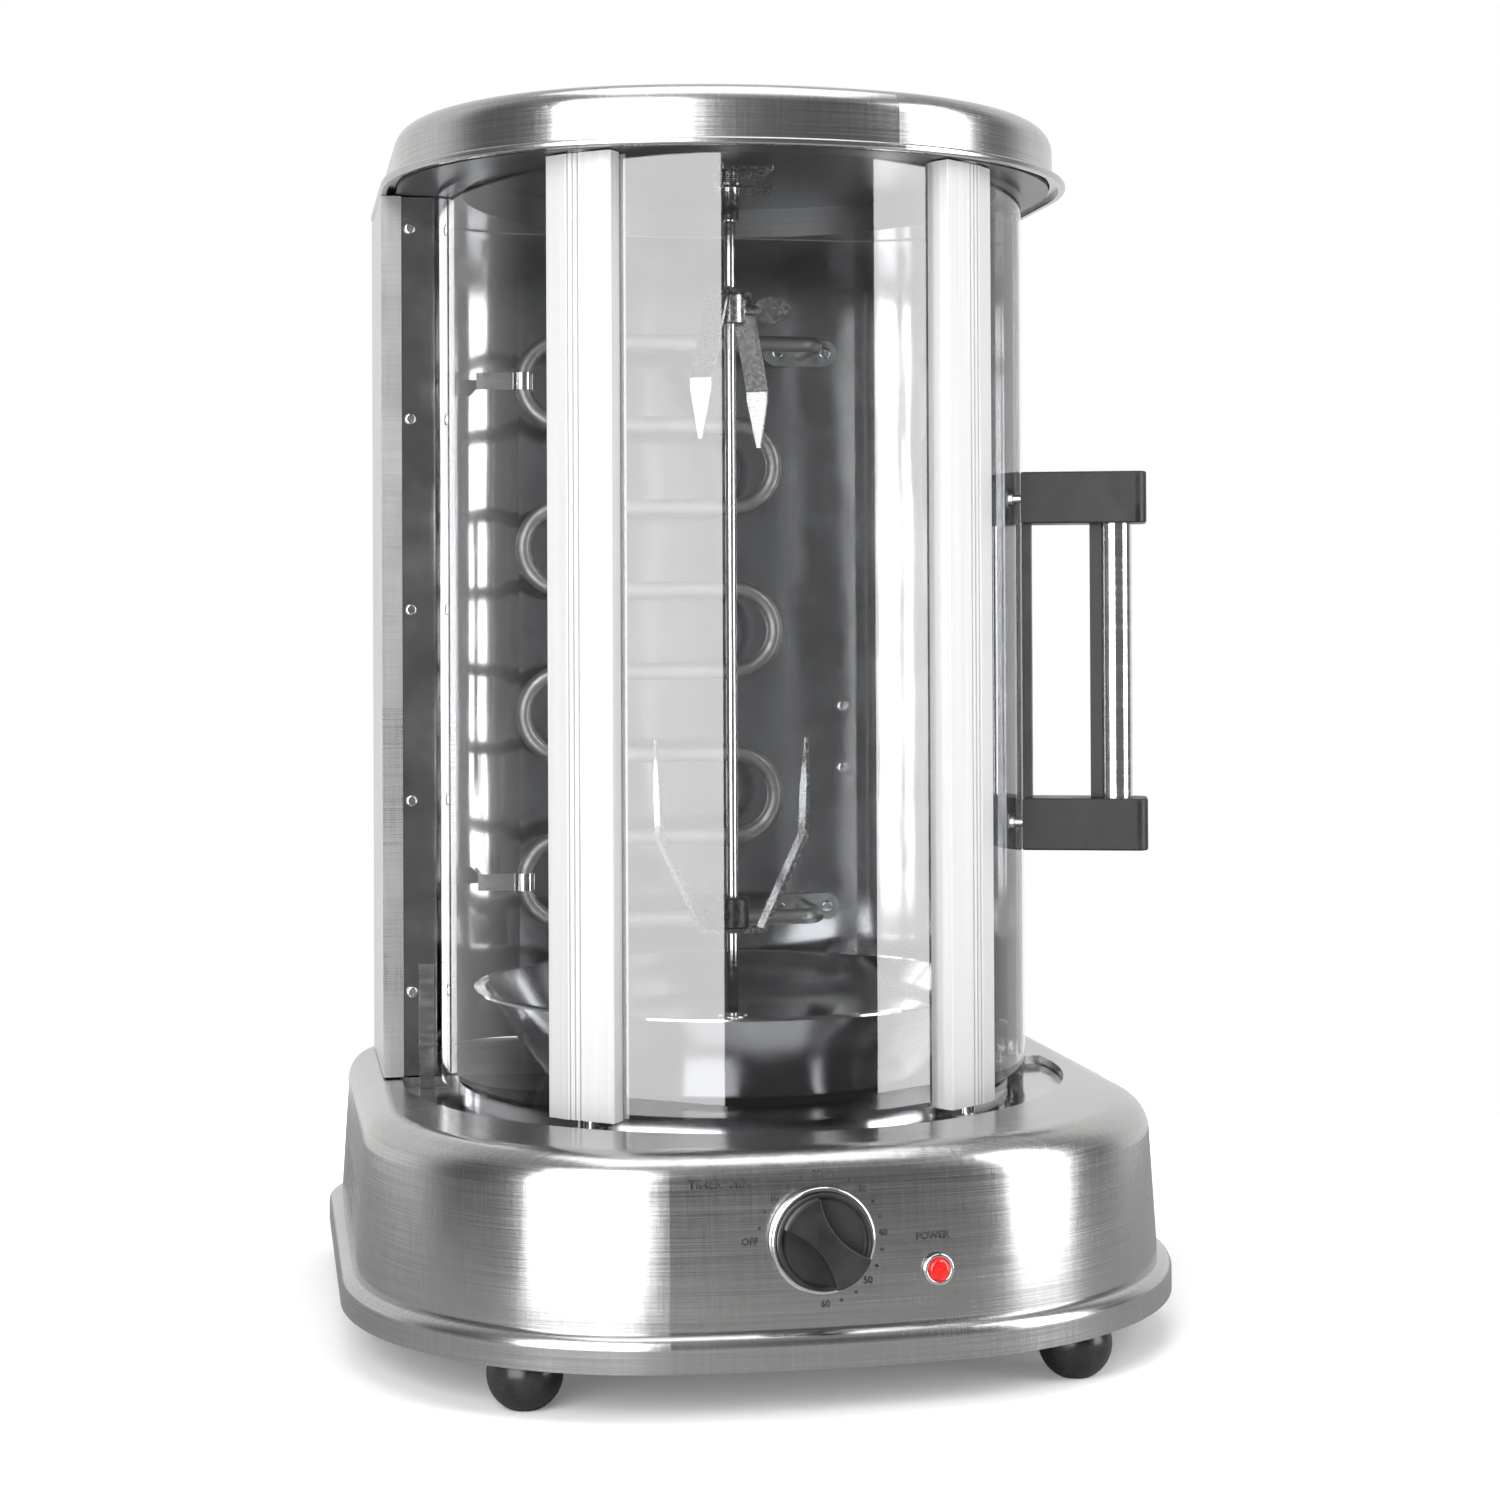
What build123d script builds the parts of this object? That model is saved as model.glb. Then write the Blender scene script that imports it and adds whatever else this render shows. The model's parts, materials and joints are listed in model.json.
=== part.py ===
from build123d import *
from math import acos, asin, cos, degrees, radians, sin, sqrt, tan
import os

os.makedirs("parts", exist_ok=True)

# Upright rotisserie oven. Millimetres, +Z up, front towards -Y.
# The origin is on the table, straight below the axis of the glass drum and of the spit.

# ---- driving dimensions ----
drum_radius = 132.0          # outer face of the curved glass
drum_height = 393.0          # height of a glass pane
glass_thickness = 4.0
base_side_margin = 46.5      # drum to the side of the foot flange
base_front_margin = 65.0     # drum to the front of the foot flange
base_back_margin = 10.0      # drum to the back of the foot flange
base_front_bow = 540.0       # radius of the gently bowed front
base_corner_margin = 2.0     # radius of its front corners over that of the drum
base_rear_corner = 42.0
base_draft = 3.5             # degrees that the base walls lean in
flange_bottom = 19.0         # table to the underside of the foot flange
flange_height = 14.0
flange_step = 6.0            # how far the foot flange stands out past the wall
base_top = 100.0             # table to the top face of the base
shoulder_radius = 14.0
sheet = 1.2                  # pressed steel of the base
thin_sheet = 1.0             # pressed steel of the rest
well_margin = 17.0           # well radius past the glass
well_depth = 5.0
foot_diameter = 30.0
foot_flat = 13.5             # diameter of the flat that touches the table
front_foot_inset = (67.5, 39.0)   # from the side and the front of the foot flange
rear_foot_inset = (46.5, 38.0)
bar_angle = 37.0             # bars stand at this angle to each side of the front
bar_width = 31.6
bar_lip = 0.85               # metal under the groove for the glass
bar_wall = 1.4               # metal over the pins
bar_pin_diameter = 6.4
bar_pin_margin = 2.0         # drum to the circle that the pins stand on
pane_end_angle = 94.0        # side panes run back to this angle
lid_left_margin = 26.0       # drum to the left side of the lid, at its lip
lid_right_margin = 18.0
lid_front_margin = 10.0
lid_bow_margin = 88.0        # radius of its bowed front over that of the drum
lid_corner_inset = 2.0       # radius of its front corners under that of the drum
lid_back_margin = 1.0        # lip of the lid inside the drum's rearmost line
lid_rear_corner = 42.0
lid_height = 27.0            # lip to the edge of the top
lid_lip = 6.0                # how far the lip stands out past the wall
housing_left_margin = 25.0   # drum to the left side of the rear housing
housing_right_margin = 7.5
housing_back_inset = 8.0     # back of the housing inside the drum's rearmost line
housing_front = 10.0         # plane of the housing's front edges, behind the axis
housing_return = 9.0         # width of its turned-in front edges
reflector_plane = 13.0       # plane of the reflector's screw flanges
reflector_margin = 2.0       # drum to each end of the reflector's mouth
reflector_back_inset = 13.0  # straight back of the reflector inside the drum's rearmost line
reflector_corner = 49.0      # radius of its two rear corners
heater_tube = 7.5
heater_rungs = 8
heater_plane_inset = 57.0    # plane of the rungs inside the drum's rearmost line
heater_left_inset = 41.0     # outer side of the left bends inside the drum
heater_right_inset = 93.5    # outer side of the right bends inside the drum
terminal_inset = 75.0        # ends of the tube inside the drum
heater_bottom_margin = 59.5  # foot of the glass to the lowest rung
heater_top_margin = 55.6     # highest rung to the top of the glass
spit_diameter = 5.0
fork_reach = 36.0            # axis to the middle of a tine
fork_hub_height = 14.0
fork_hub_diameter = 15.0
lower_fork_margin = 70.5     # foot of the glass to the middle of the lower hub
upper_fork_margin = 48.5     # middle of the upper hub to the top of the glass
lower_tine = 86.0
upper_tine = 68.0
upper_fork_turn = 58.0       # degrees the upper fork is turned about the spit
bar_sweep_gap = 0.6          # rim of the bowl to the edge of the door's bar as it swings past
bowl_flare = 31.0            # how much wider its rim is than its foot
bowl_depth = 38.0
knob_diameter = 37.0
knob_bezel_width = 2.0       # chrome ring round the knob
knob_height = 66.5           # table to the middle of the knob
lamp_x = 46.4
lamp_height = 52.6
lamp_diameter = 12.3
handle_angle = 72.0
handle_standoff = 41.0       # glass to the middle of the grip tube
handle_margin = 100.5        # foot of the glass to the foot of the handle
handle_length = 168.0
handle_block_height = 23.0
handle_tube_diameter = 15.0

# ---- clearances ----
pane_gap = 1.5               # pane ends above the base top
groove_clearance = 0.25      # glass in its groove, each side
running_fit = 0.05           # radial play of turning and sliding shafts
slip_fit = 0.08              # radial play of pieces moved by hand
air_gap = 0.4                # between faces that pass each other
seat_gap = 0.2               # between stacked pieces that never move
hole_clearance = 0.15        # radial, round the shanks of screws

# ---- worked out from the above ----
base_half_width = drum_radius + base_side_margin
base_front = drum_radius + base_front_margin
base_back = drum_radius + base_back_margin
base_front_corner = drum_radius + base_corner_margin
lid_front_bow = drum_radius + lid_bow_margin
lid_front_corner = drum_radius - lid_corner_inset
lid_left = drum_radius + lid_left_margin
lid_right = drum_radius + lid_right_margin
lid_front = drum_radius + lid_front_margin
lid_back = drum_radius - lid_back_margin
housing_left = drum_radius + housing_left_margin
housing_right = drum_radius + housing_right_margin
housing_back = drum_radius - housing_back_inset
reflector_mouth = drum_radius + reflector_margin
reflector_back = drum_radius - reflector_back_inset
knob_bezel_diameter = knob_diameter + 2 * knob_bezel_width
base_flange_top = flange_bottom + flange_height
well_radius = drum_radius + well_margin
well_floor = base_top - well_depth
well_back = reflector_plane - 0.2       # straight rear edge of the well
glass_bottom = base_top + pane_gap
glass_top = glass_bottom + drum_height
glass_inner = drum_radius - glass_thickness
ceiling_flat = glass_top + 2.0          # underside of the ceiling plate's rim
lid_bottom = glass_top + 1.5
lid_wall_left = lid_left - lid_lip
lid_wall_right = lid_right - lid_lip
lower_fork_height = glass_bottom + lower_fork_margin
upper_fork_height = glass_top - upper_fork_margin
handle_bottom = glass_bottom + handle_margin
heater_plane = drum_radius - heater_plane_inset
heater_left = heater_left_inset - drum_radius
heater_right = drum_radius - heater_right_inset
terminal_x = drum_radius - terminal_inset
heater_bottom = glass_bottom + heater_bottom_margin
heater_top = glass_top - heater_top_margin
heater_pitch = (heater_top - heater_bottom) / (heater_rungs - 1)
bar_circle = drum_radius + bar_pin_margin
bar_face = bar_pin_diameter / 2 + bar_wall      # outer face, out from the pins' circle
bar_inner = sqrt((glass_inner - groove_clearance - bar_lip) ** 2 - (bar_width / 2) ** 2) - bar_circle
bar_sweep = sqrt((bar_width / 2) ** 2 + bar_face**2)
bowl_rim_radius = bar_circle - bar_sweep - bar_sweep_gap
bowl_base_radius = bowl_rim_radius - bowl_flare
bar_bottom = glass_bottom - 0.7
bar_top = ceiling_flat - 0.6
lid_top = lid_bottom + lid_height
floor_rise = 4.0
floor_ring_radius = glass_inner - 4.0
floor_level = well_floor + thin_sheet + floor_rise
ceiling_rise = 14.0
ceiling_level = ceiling_flat + ceiling_rise
spit_top = ceiling_flat - 7.0
base_lean = (base_top - base_flange_top) * tan(radians(base_draft))


def polar(radius, angle):
    """Point at an angle from the front, positive to the object's right."""
    return (radius * sin(radians(angle)), -radius * cos(radians(angle)))


def radial_plane(radius, angle, z):
    """Plane facing outwards from the axis, its x to the right as seen from outside."""
    x, y = polar(radius, angle)
    return Plane(
        origin=(x, y, z),
        x_dir=(cos(radians(angle)), sin(radians(angle)), 0),
        z_dir=(sin(radians(angle)), -cos(radians(angle)), 0),
    )


def finish(builder, label):
    """Names a finished piece and writes its STEP file."""
    builder.part.label = label
    export_step(builder.part, f"parts/{label}.step")


def pan_screw(plane, head, shank, length):
    """Pan-head screw whose head sits on the plane and whose shank goes down through it."""
    with BuildPart() as screw:
        with BuildSketch(plane):
            Circle(head / 2)
        extrude(amount=head * 0.36)
        fillet(screw.faces().sort_by(Axis((0, 0, 0), plane.z_dir))[-1].edges(), head * 0.16)
        with BuildSketch(plane):
            Circle(shank / 2)
        extrude(amount=-length)
        with BuildSketch(plane.offset(head * 0.36)):
            Rectangle(head * 0.62, head * 0.14)
            Rectangle(head * 0.14, head * 0.62)
        extrude(amount=-head * 0.16, mode=Mode.SUBTRACT)
    return screw.part


def screw_group(label, planes, head, shank, length):
    """Identical screws in one node."""
    with BuildPart() as group:
        for plane in planes:
            add(pan_screw(plane, head, shank, length))
    finish(group, label)


def screw_holes(planes, shank):
    """Cutter for the clearance holes of a group of screws in sheet metal."""
    with BuildPart() as cutter:
        for plane in planes:
            with BuildSketch(plane):
                Circle(shank / 2 + hole_clearance)
            extrude(amount=4, both=True)
    return cutter.part


def base_outline(inset):
    """Bowed front, straight sides and back, all corners round, moved in by the inset."""
    bow = base_front_bow - inset
    half = base_half_width - inset
    centre = base_front_bow - base_front
    side_start = centre - sqrt(bow**2 - half**2)
    with BuildSketch() as outline:
        with BuildLine():
            ThreePointArc((-half, side_start), (0, centre - bow), (half, side_start))
            Polyline(
                (half, side_start),
                (half, base_back - inset),
                (-half, base_back - inset),
                (-half, side_start),
            )
        make_face()
        fillet(outline.vertices().group_by(Axis.Y)[-1], base_rear_corner - inset)
        fillet(outline.vertices().group_by(Axis.Y)[0], base_front_corner - inset)
    return outline.sketch


def well_plan(margin):
    """Plan of the well: round, and cut off straight along the front of the rear housing."""
    with BuildSketch() as plan:
        Circle(well_radius + margin)
        with Locations((0, well_back + margin + well_radius)):
            Rectangle(4 * well_radius, 2 * well_radius, mode=Mode.SUBTRACT)
    return plan.sketch


def base_form(wall):
    """Solid shape of the base, with every surface moved in by the wall."""
    foot = flange_bottom - (1.0 if wall else 0.0)
    with BuildPart() as flange:
        with BuildSketch(Plane.XY.offset(foot)):
            add(base_outline(wall))
        extrude(amount=base_flange_top - wall - foot)
        fillet(flange.edges().group_by(Axis.Z)[-1], flange_step - 1.0)
    with BuildPart() as body:
        with BuildSketch(Plane.XY.offset(base_flange_top - wall - 1.0)):
            add(base_outline(flange_step + wall))
        with BuildSketch(Plane.XY.offset(base_top - wall)):
            add(base_outline(flange_step + wall + base_lean))
        loft(ruled=True)
        fillet(body.edges().group_by(Axis.Z)[-1], shoulder_radius - wall)
    with BuildPart() as form:
        add(flange.part)
        add(body.part)
        with BuildSketch(Plane.XY.offset(well_floor - wall)):
            add(well_plan(wall))
        extrude(amount=well_depth + wall + 1.0, mode=Mode.SUBTRACT)
    return form.part


def lid_outline(inset):
    """Bowed front, straight sides, flat back: the plan of the lid."""
    bow = lid_front_bow - inset
    left = lid_left - inset
    right = lid_right - inset
    back = lid_back - inset
    centre = lid_front_bow - lid_front
    left_start = centre - sqrt(bow**2 - left**2)
    right_start = centre - sqrt(bow**2 - right**2)
    with BuildSketch() as outline:
        with BuildLine():
            ThreePointArc((-left, left_start), (0, centre - bow), (right, right_start))
            Polyline((right, right_start), (right, back), (-left, back), (-left, left_start))
        make_face()
        fillet(outline.vertices().group_by(Axis.Y)[-1], lid_rear_corner - inset)
        fillet(outline.vertices().sort_by(Axis.Y)[:2], lid_front_corner - inset)
    return outline.sketch


# ---- front panel planes: the wall leans back by the draft ----
def front_wall(z):
    """Distance from the axis to the middle of the front wall at a height."""
    return base_front - flange_step - (z - base_flange_top) * tan(radians(base_draft))


def panel_plane(x, z):
    """Plane on the front wall, facing out along the wall's own normal."""
    bow = base_front_bow - (base_front - front_wall(z))
    turn = degrees(asin(x / bow))
    y = base_front_bow - base_front - bow * cos(radians(turn))
    lean = radians(base_draft)
    return Plane(
        origin=(x, y, z),
        x_dir=(cos(radians(turn)), sin(radians(turn)), 0),
        z_dir=(sin(radians(turn)) * cos(lean), -cos(radians(turn)) * cos(lean), sin(lean)),
    )


knob_plane = panel_plane(0, knob_height)
lamp_plane = panel_plane(lamp_x, lamp_height)
timer_shaft_diameter = 6.0
drive_hole = 24.0
bush_diameter = bar_pin_diameter + 3.6
lamp_body_diameter = 9.0

# ---- base shell ----
vent_slots = 6
gland_height = 62.0
gland_plane = Plane(
    origin=(-70, base_back - flange_step - (gland_height - base_flange_top) * tan(radians(base_draft)),
            gland_height),
    x_dir=(-1, 0, 0), z_dir=(0, 1, 0),
)
gland_hole = 12.0
bottom_level = flange_bottom + 2.0
plate_screw_places = [
    (side * x, y)
    for x, y in ((60, 19 - base_front), (base_half_width - 16.5, -20), (80, base_back - 12))
    for side in (-1, 1)
]
tab_level = bottom_level + sheet + seat_gap
motor_screw_places = [(-36, 0), (36, 0)]
plate_screw = 3.0
motor_screw = 3.0
with BuildPart() as screw_tabs:
    for x, y in plate_screw_places:
        with BuildSketch(Plane.XY.offset(tab_level)):
            with Locations((x, y)):
                Rectangle(*((16, 50) if abs(y) > 100 else (50, 16)))
        extrude(amount=3)
    add(base_form(0), mode=Mode.INTERSECT)
    with BuildSketch(Plane.XY.offset(tab_level)):
        with Locations(*plate_screw_places):
            Circle(plate_screw / 2 + hole_clearance)
    extrude(amount=4, mode=Mode.SUBTRACT)
with BuildPart() as base_shell:
    add(base_form(0))
    add(base_form(sheet), mode=Mode.SUBTRACT)
    add(screw_tabs.part)
    # holes for the timer shaft, the lamp, the mains lead and the drive
    with BuildSketch(knob_plane):
        Circle(timer_shaft_diameter / 2 + 1.0)
    extrude(amount=6, both=True, mode=Mode.SUBTRACT)
    with BuildSketch(lamp_plane):
        Circle(lamp_body_diameter / 2 + seat_gap)
    extrude(amount=6, both=True, mode=Mode.SUBTRACT)
    with BuildSketch(gland_plane):
        Circle(gland_hole / 2)
    extrude(amount=10, both=True, mode=Mode.SUBTRACT)
    with BuildSketch(Plane.XY.offset(well_floor - 3)):
        Circle(drive_hole / 2)
        with Locations(*[polar(bar_circle, s * bar_angle) for s in (-1, 1)]):
            Circle(bush_diameter / 2 + seat_gap)
        with Locations(*motor_screw_places):
            Circle(motor_screw / 2 + hole_clearance)
    extrude(amount=8, mode=Mode.SUBTRACT)
    # louvre slots in both side walls
    with BuildSketch(Plane.YZ):
        with Locations((30, 50)):
            with GridLocations(12, 0, vent_slots, 1):
                SlotOverall(22, 3, rotation=90)
    extrude(amount=base_half_width + 5, both=True, mode=Mode.SUBTRACT)
finish(base_shell, "base_shell")

# ---- bottom plate ----
bottom_inset = sheet + 0.6
front_foot = (base_half_width - front_foot_inset[0], front_foot_inset[1] - base_front)
rear_foot = (base_half_width - rear_foot_inset[0], base_back - rear_foot_inset[1])
feet_places = [(s * p[0], p[1]) for p in (front_foot, rear_foot) for s in (-1, 1)]
with BuildPart() as bottom_plate:
    with BuildSketch(Plane.XY.offset(bottom_level)):
        add(base_outline(bottom_inset))
        with Locations(*feet_places):
            Circle(2.4, mode=Mode.SUBTRACT)
        with Locations(*plate_screw_places):
            Circle(1.9, mode=Mode.SUBTRACT)
        with Locations((0, 20)):
            with GridLocations(14, 0, 9, 1):
                SlotOverall(60, 4, rotation=90, mode=Mode.SUBTRACT)
    extrude(amount=sheet)
finish(bottom_plate, "bottom_plate")

screw_group(
    "bottom_plate_screws",
    [Plane(origin=(x, y, bottom_level - seat_gap), z_dir=(0, 0, -1)) for x, y in plate_screw_places],
    6.5, plate_screw, 6.5,
)

# ---- ball feet ----
foot_radius = foot_diameter / 2
foot_centre = sqrt(foot_radius**2 - (foot_flat / 2) ** 2)
foot_head = 4.0
with BuildPart() as feet:
    for x, y in feet_places:
        with Locations((x, y, foot_centre)):
            Sphere(foot_radius)
        with BuildSketch(Plane.XY.offset(bottom_level - seat_gap)):
            with Locations((x, y)):
                Circle(foot_diameter)
        extrude(amount=foot_diameter, mode=Mode.SUBTRACT)
        with BuildSketch():
            with Locations((x, y)):
                Circle(foot_diameter)
        extrude(amount=-foot_diameter, mode=Mode.SUBTRACT)
        with BuildSketch(Plane.XY.offset(bottom_level)):
            with Locations((x, y)):
                Circle(1.6)
        extrude(amount=-10, mode=Mode.SUBTRACT)
finish(feet, "feet")
screw_group(
    "foot_screws",
    [Plane(origin=(x, y, bottom_level + sheet + seat_gap)) for x, y in feet_places],
    7.5, 3.0, 9.0,
)

# ---- polished floor of the drum, with its raised middle ----
socket_diameter = 14.0
with BuildPart() as floor_pan:
    with BuildSketch(Plane.XZ):
        with BuildLine():
            Polyline(
                (socket_diameter / 2 + 2.0, floor_level - thin_sheet),
                (floor_ring_radius - thin_sheet, floor_level - thin_sheet),
                (floor_ring_radius - thin_sheet, well_floor),
                (well_radius - 1.0, well_floor),
                (well_radius - 1.0, well_floor + thin_sheet),
                (floor_ring_radius, well_floor + thin_sheet),
                (floor_ring_radius, floor_level),
                (socket_diameter / 2 + 2.0, floor_level),
                close=True,
            )
        make_face()
    revolve(axis=Axis.Z)
    with BuildSketch(Plane.XY.offset(well_floor - 1)):
        with Locations(*[polar(bar_circle, s * bar_angle) for s in (-1, 1)]):
            Circle(bush_diameter / 2 + seat_gap)
    extrude(amount=4, mode=Mode.SUBTRACT)
    with BuildSketch(Plane.XY.offset(well_floor)):
        add(well_plan(-0.6))
    extrude(amount=floor_level - well_floor, mode=Mode.INTERSECT)
finish(floor_pan, "floor_pan")
# ---- bushes that carry the pins of the two bars ----
pin_bore = bar_pin_diameter / 2 + running_fit
with BuildPart() as bar_bushes:
    for side in (-1, 1):
        x, y = polar(bar_circle, side * bar_angle)
        for rim, collar, way in ((well_floor + thin_sheet, 0.8, 1), (ceiling_flat, 0.3, -1)):
            face = Plane(origin=(x, y, rim), z_dir=(0, 0, way))
            with BuildSketch(face):
                Circle(bush_diameter / 2 + 1.2)
            extrude(amount=collar)
            with BuildSketch(face):
                Circle(bush_diameter / 2)
            extrude(amount=-8)
            with BuildSketch(face.offset(collar)):
                Circle(pin_bore)
            extrude(amount=-12, mode=Mode.SUBTRACT)
finish(bar_bushes, "bar_bushes")

lid_screw_height = ceiling_flat + 6.0
lid_screw = 2.8
lid_screw_planes = [
    Plane(origin=(side * (wall + 0.1), 70, lid_screw_height), z_dir=(side, 0, 0))
    for side, wall in ((-1, lid_wall_left), (1, lid_wall_right))
] + [
    Plane(origin=(x, lid_back - lid_lip + 0.1, lid_screw_height), z_dir=(0, 1, 0))
    for x in (-80, 80)
]

# ---- ceiling plate: flat rim, raised middle, turned-up edge ----
ceiling_hole = glass_inner - 6.0
ceiling_inset = lid_lip + thin_sheet + 0.6
with BuildPart() as ceiling_plate:
    with BuildSketch(Plane.XY.offset(ceiling_flat)):
        add(lid_outline(ceiling_inset))
        Circle(ceiling_hole - thin_sheet, mode=Mode.SUBTRACT)
        with Locations(*[polar(bar_circle, s * bar_angle) for s in (-1, 1)]):
            Circle(bush_diameter / 2 + seat_gap, mode=Mode.SUBTRACT)
    extrude(amount=thin_sheet)
    with BuildSketch(Plane.XY.offset(ceiling_flat)):
        add(lid_outline(ceiling_inset))
        add(lid_outline(ceiling_inset + thin_sheet), mode=Mode.SUBTRACT)
    extrude(amount=9)
    with BuildSketch(Plane.XY.offset(ceiling_flat)):
        Circle(ceiling_hole)
        Circle(ceiling_hole - thin_sheet, mode=Mode.SUBTRACT)
    extrude(amount=ceiling_rise)
    with BuildSketch(Plane.XY.offset(ceiling_level)):
        Circle(ceiling_hole)
    extrude(amount=thin_sheet)
    add(screw_holes(lid_screw_planes, lid_screw), mode=Mode.SUBTRACT)
finish(ceiling_plate, "ceiling_plate")

# ---- lid ----
lip_height = 3.2
lip_roll = 3.2               # width of the rolled edge
lid_round = 10.0
with BuildPart() as lid_space:
    with BuildSketch(Plane.XY.offset(lid_bottom)):
        add(lid_outline(lid_lip + thin_sheet))
    extrude(amount=lid_height - thin_sheet)
    fillet(lid_space.edges().group_by(Axis.Z)[-1], lid_round - thin_sheet)
    with BuildSketch(Plane.XY.offset(lid_bottom - 1)):
        add(lid_outline(lip_roll))
    extrude(amount=lip_height - thin_sheet + 1)
with BuildPart() as lid_lip_ring:
    with BuildSketch(Plane.XY.offset(lid_bottom)):
        add(lid_outline(0))
    extrude(amount=lip_height)
    fillet(lid_lip_ring.faces().filter_by(Axis.Z).edges(), 1.4)
with BuildPart() as lid:
    with BuildSketch(Plane.XY.offset(lid_bottom + lip_height - thin_sheet)):
        add(lid_outline(lid_lip))
    extrude(amount=lid_height - lip_height + thin_sheet)
    fillet(lid.edges().group_by(Axis.Z)[-1], lid_round)
    with BuildSketch(Plane.XY.offset(lid_top)):
        add(lid_outline(lid_lip + lid_round + 12))
    extrude(amount=1.1)
    fillet(lid.edges().group_by(Axis.Z)[-1], 1.0)
    add(lid_lip_ring.part)
    add(lid_space.part, mode=Mode.SUBTRACT)
    add(screw_holes(lid_screw_planes, lid_screw), mode=Mode.SUBTRACT)
finish(lid, "lid")
screw_group("lid_screws", lid_screw_planes, 6.0, lid_screw, 4.0)

# ---- rear housing: a deep U of sheet steel, its left front edge joggled to take the reflector ----
housing_corner = 22.0
housing_bottom = base_top + 0.8
housing_top = lid_bottom - seat_gap
housing_inner = housing_left - housing_return
backing_plane = reflector_plane + thin_sheet + seat_gap
reflector_screw = 2.4
reflector_screw_count = 5
reflector_screw_pitch = 85.8
reflector_screw_middle = (glass_bottom + glass_top) / 2 + 12.0
reflector_screw_heights = [
    reflector_screw_middle + (i - 2) * reflector_screw_pitch for i in range(reflector_screw_count)
]
left_screw_planes = [
    Plane(origin=(4 - housing_inner, reflector_plane - 0.1, z), z_dir=(0, -1, 0))
    for z in reflector_screw_heights
]
right_screw_planes = [
    Plane(origin=(housing_right + 0.1, reflector_plane + 8, z), z_dir=(1, 0, 0))
    for z in reflector_screw_heights
]


def housing_plan(inset, front):
    """Plan of the rear housing, moved in by the inset, starting at a front plane."""
    left = inset - housing_left
    right = housing_right - inset
    back = housing_back - inset
    with BuildSketch() as plan:
        with Locations(((left + right) / 2, (front + back) / 2)):
            Rectangle(right - left, back - front)
        fillet(plan.vertices().group_by(Axis.Y)[-1], housing_corner - inset)
    return plan.sketch


with BuildPart() as rear_housing:
    with BuildSketch(Plane.XY.offset(housing_bottom)):
        add(housing_plan(0, housing_front))
        add(housing_plan(thin_sheet, housing_front + thin_sheet), mode=Mode.SUBTRACT)
        with Locations(((housing_right - thin_sheet - housing_inner) / 2, housing_front)):
            Rectangle(housing_right - thin_sheet + housing_inner, 4 * thin_sheet, mode=Mode.SUBTRACT)
        step = backing_plane + thin_sheet - housing_front
        with Locations((-housing_inner - thin_sheet / 2, housing_front + step / 2)):
            Rectangle(thin_sheet, step)
        run = housing_inner - reflector_mouth - 3.0 + thin_sheet
        with Locations((run / 2 - housing_inner - thin_sheet, backing_plane + thin_sheet / 2)):
            Rectangle(run, thin_sheet)
    extrude(amount=housing_top - housing_bottom)
    with BuildSketch(Plane.XZ.offset(-housing_back + 4)):
        with Locations((-9, glass_top - 60), (-9, glass_bottom + 60)):
            with GridLocations(12, 0, 15, 1):
                SlotOverall(46, 4, rotation=90)
    extrude(amount=-12, mode=Mode.SUBTRACT)
    add(screw_holes(left_screw_planes + right_screw_planes, reflector_screw), mode=Mode.SUBTRACT)
finish(rear_housing, "rear_housing")

# ---- thermostat place on the reflector ----
thermostat_x = drum_radius - 54.0
thermostat_height = 246.0
thermostat_spread = 15.5
thermostat_screw = 2.6
thermostat_depth = 2.2       # can behind the reflector, thinner than the gap to the housing
thermostat_plane = Plane(
    origin=(thermostat_x, reflector_back, thermostat_height), x_dir=(1, 0, 0), z_dir=(0, -1, 0)
)
thermostat_screw_planes = [
    Plane(
        origin=thermostat_plane.from_local_coords(Vector(0, s * thermostat_spread, thin_sheet + 0.1)),
        x_dir=thermostat_plane.x_dir, z_dir=thermostat_plane.z_dir,
    )
    for s in (-1, 1)
]

# ---- polished reflector behind the heater ----
heater_ends = (heater_bottom, heater_top)
flange_screw = 3.0
flange_screw_spread = 12.0
flange_y = reflector_back - thin_sheet - seat_gap
flange_screw_planes = [
    Plane(origin=(terminal_x + s * flange_screw_spread, flange_y - 1.6, z), z_dir=(0, -1, 0))
    for z in heater_ends for s in (-1, 1)
]
right_edge = housing_right - thin_sheet - seat_gap


def reflector_plan(inset):
    """Plan of the space that the reflector wraps: straight back and sides, round rear corners."""
    back = reflector_back - inset
    with BuildSketch() as plan:
        with Locations((0, (reflector_plane + back) / 2)):
            Rectangle(2 * (reflector_mouth - inset), back - reflector_plane)
        fillet(plan.vertices().group_by(Axis.Y)[-1], reflector_corner - inset)
    return plan.sketch


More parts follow.
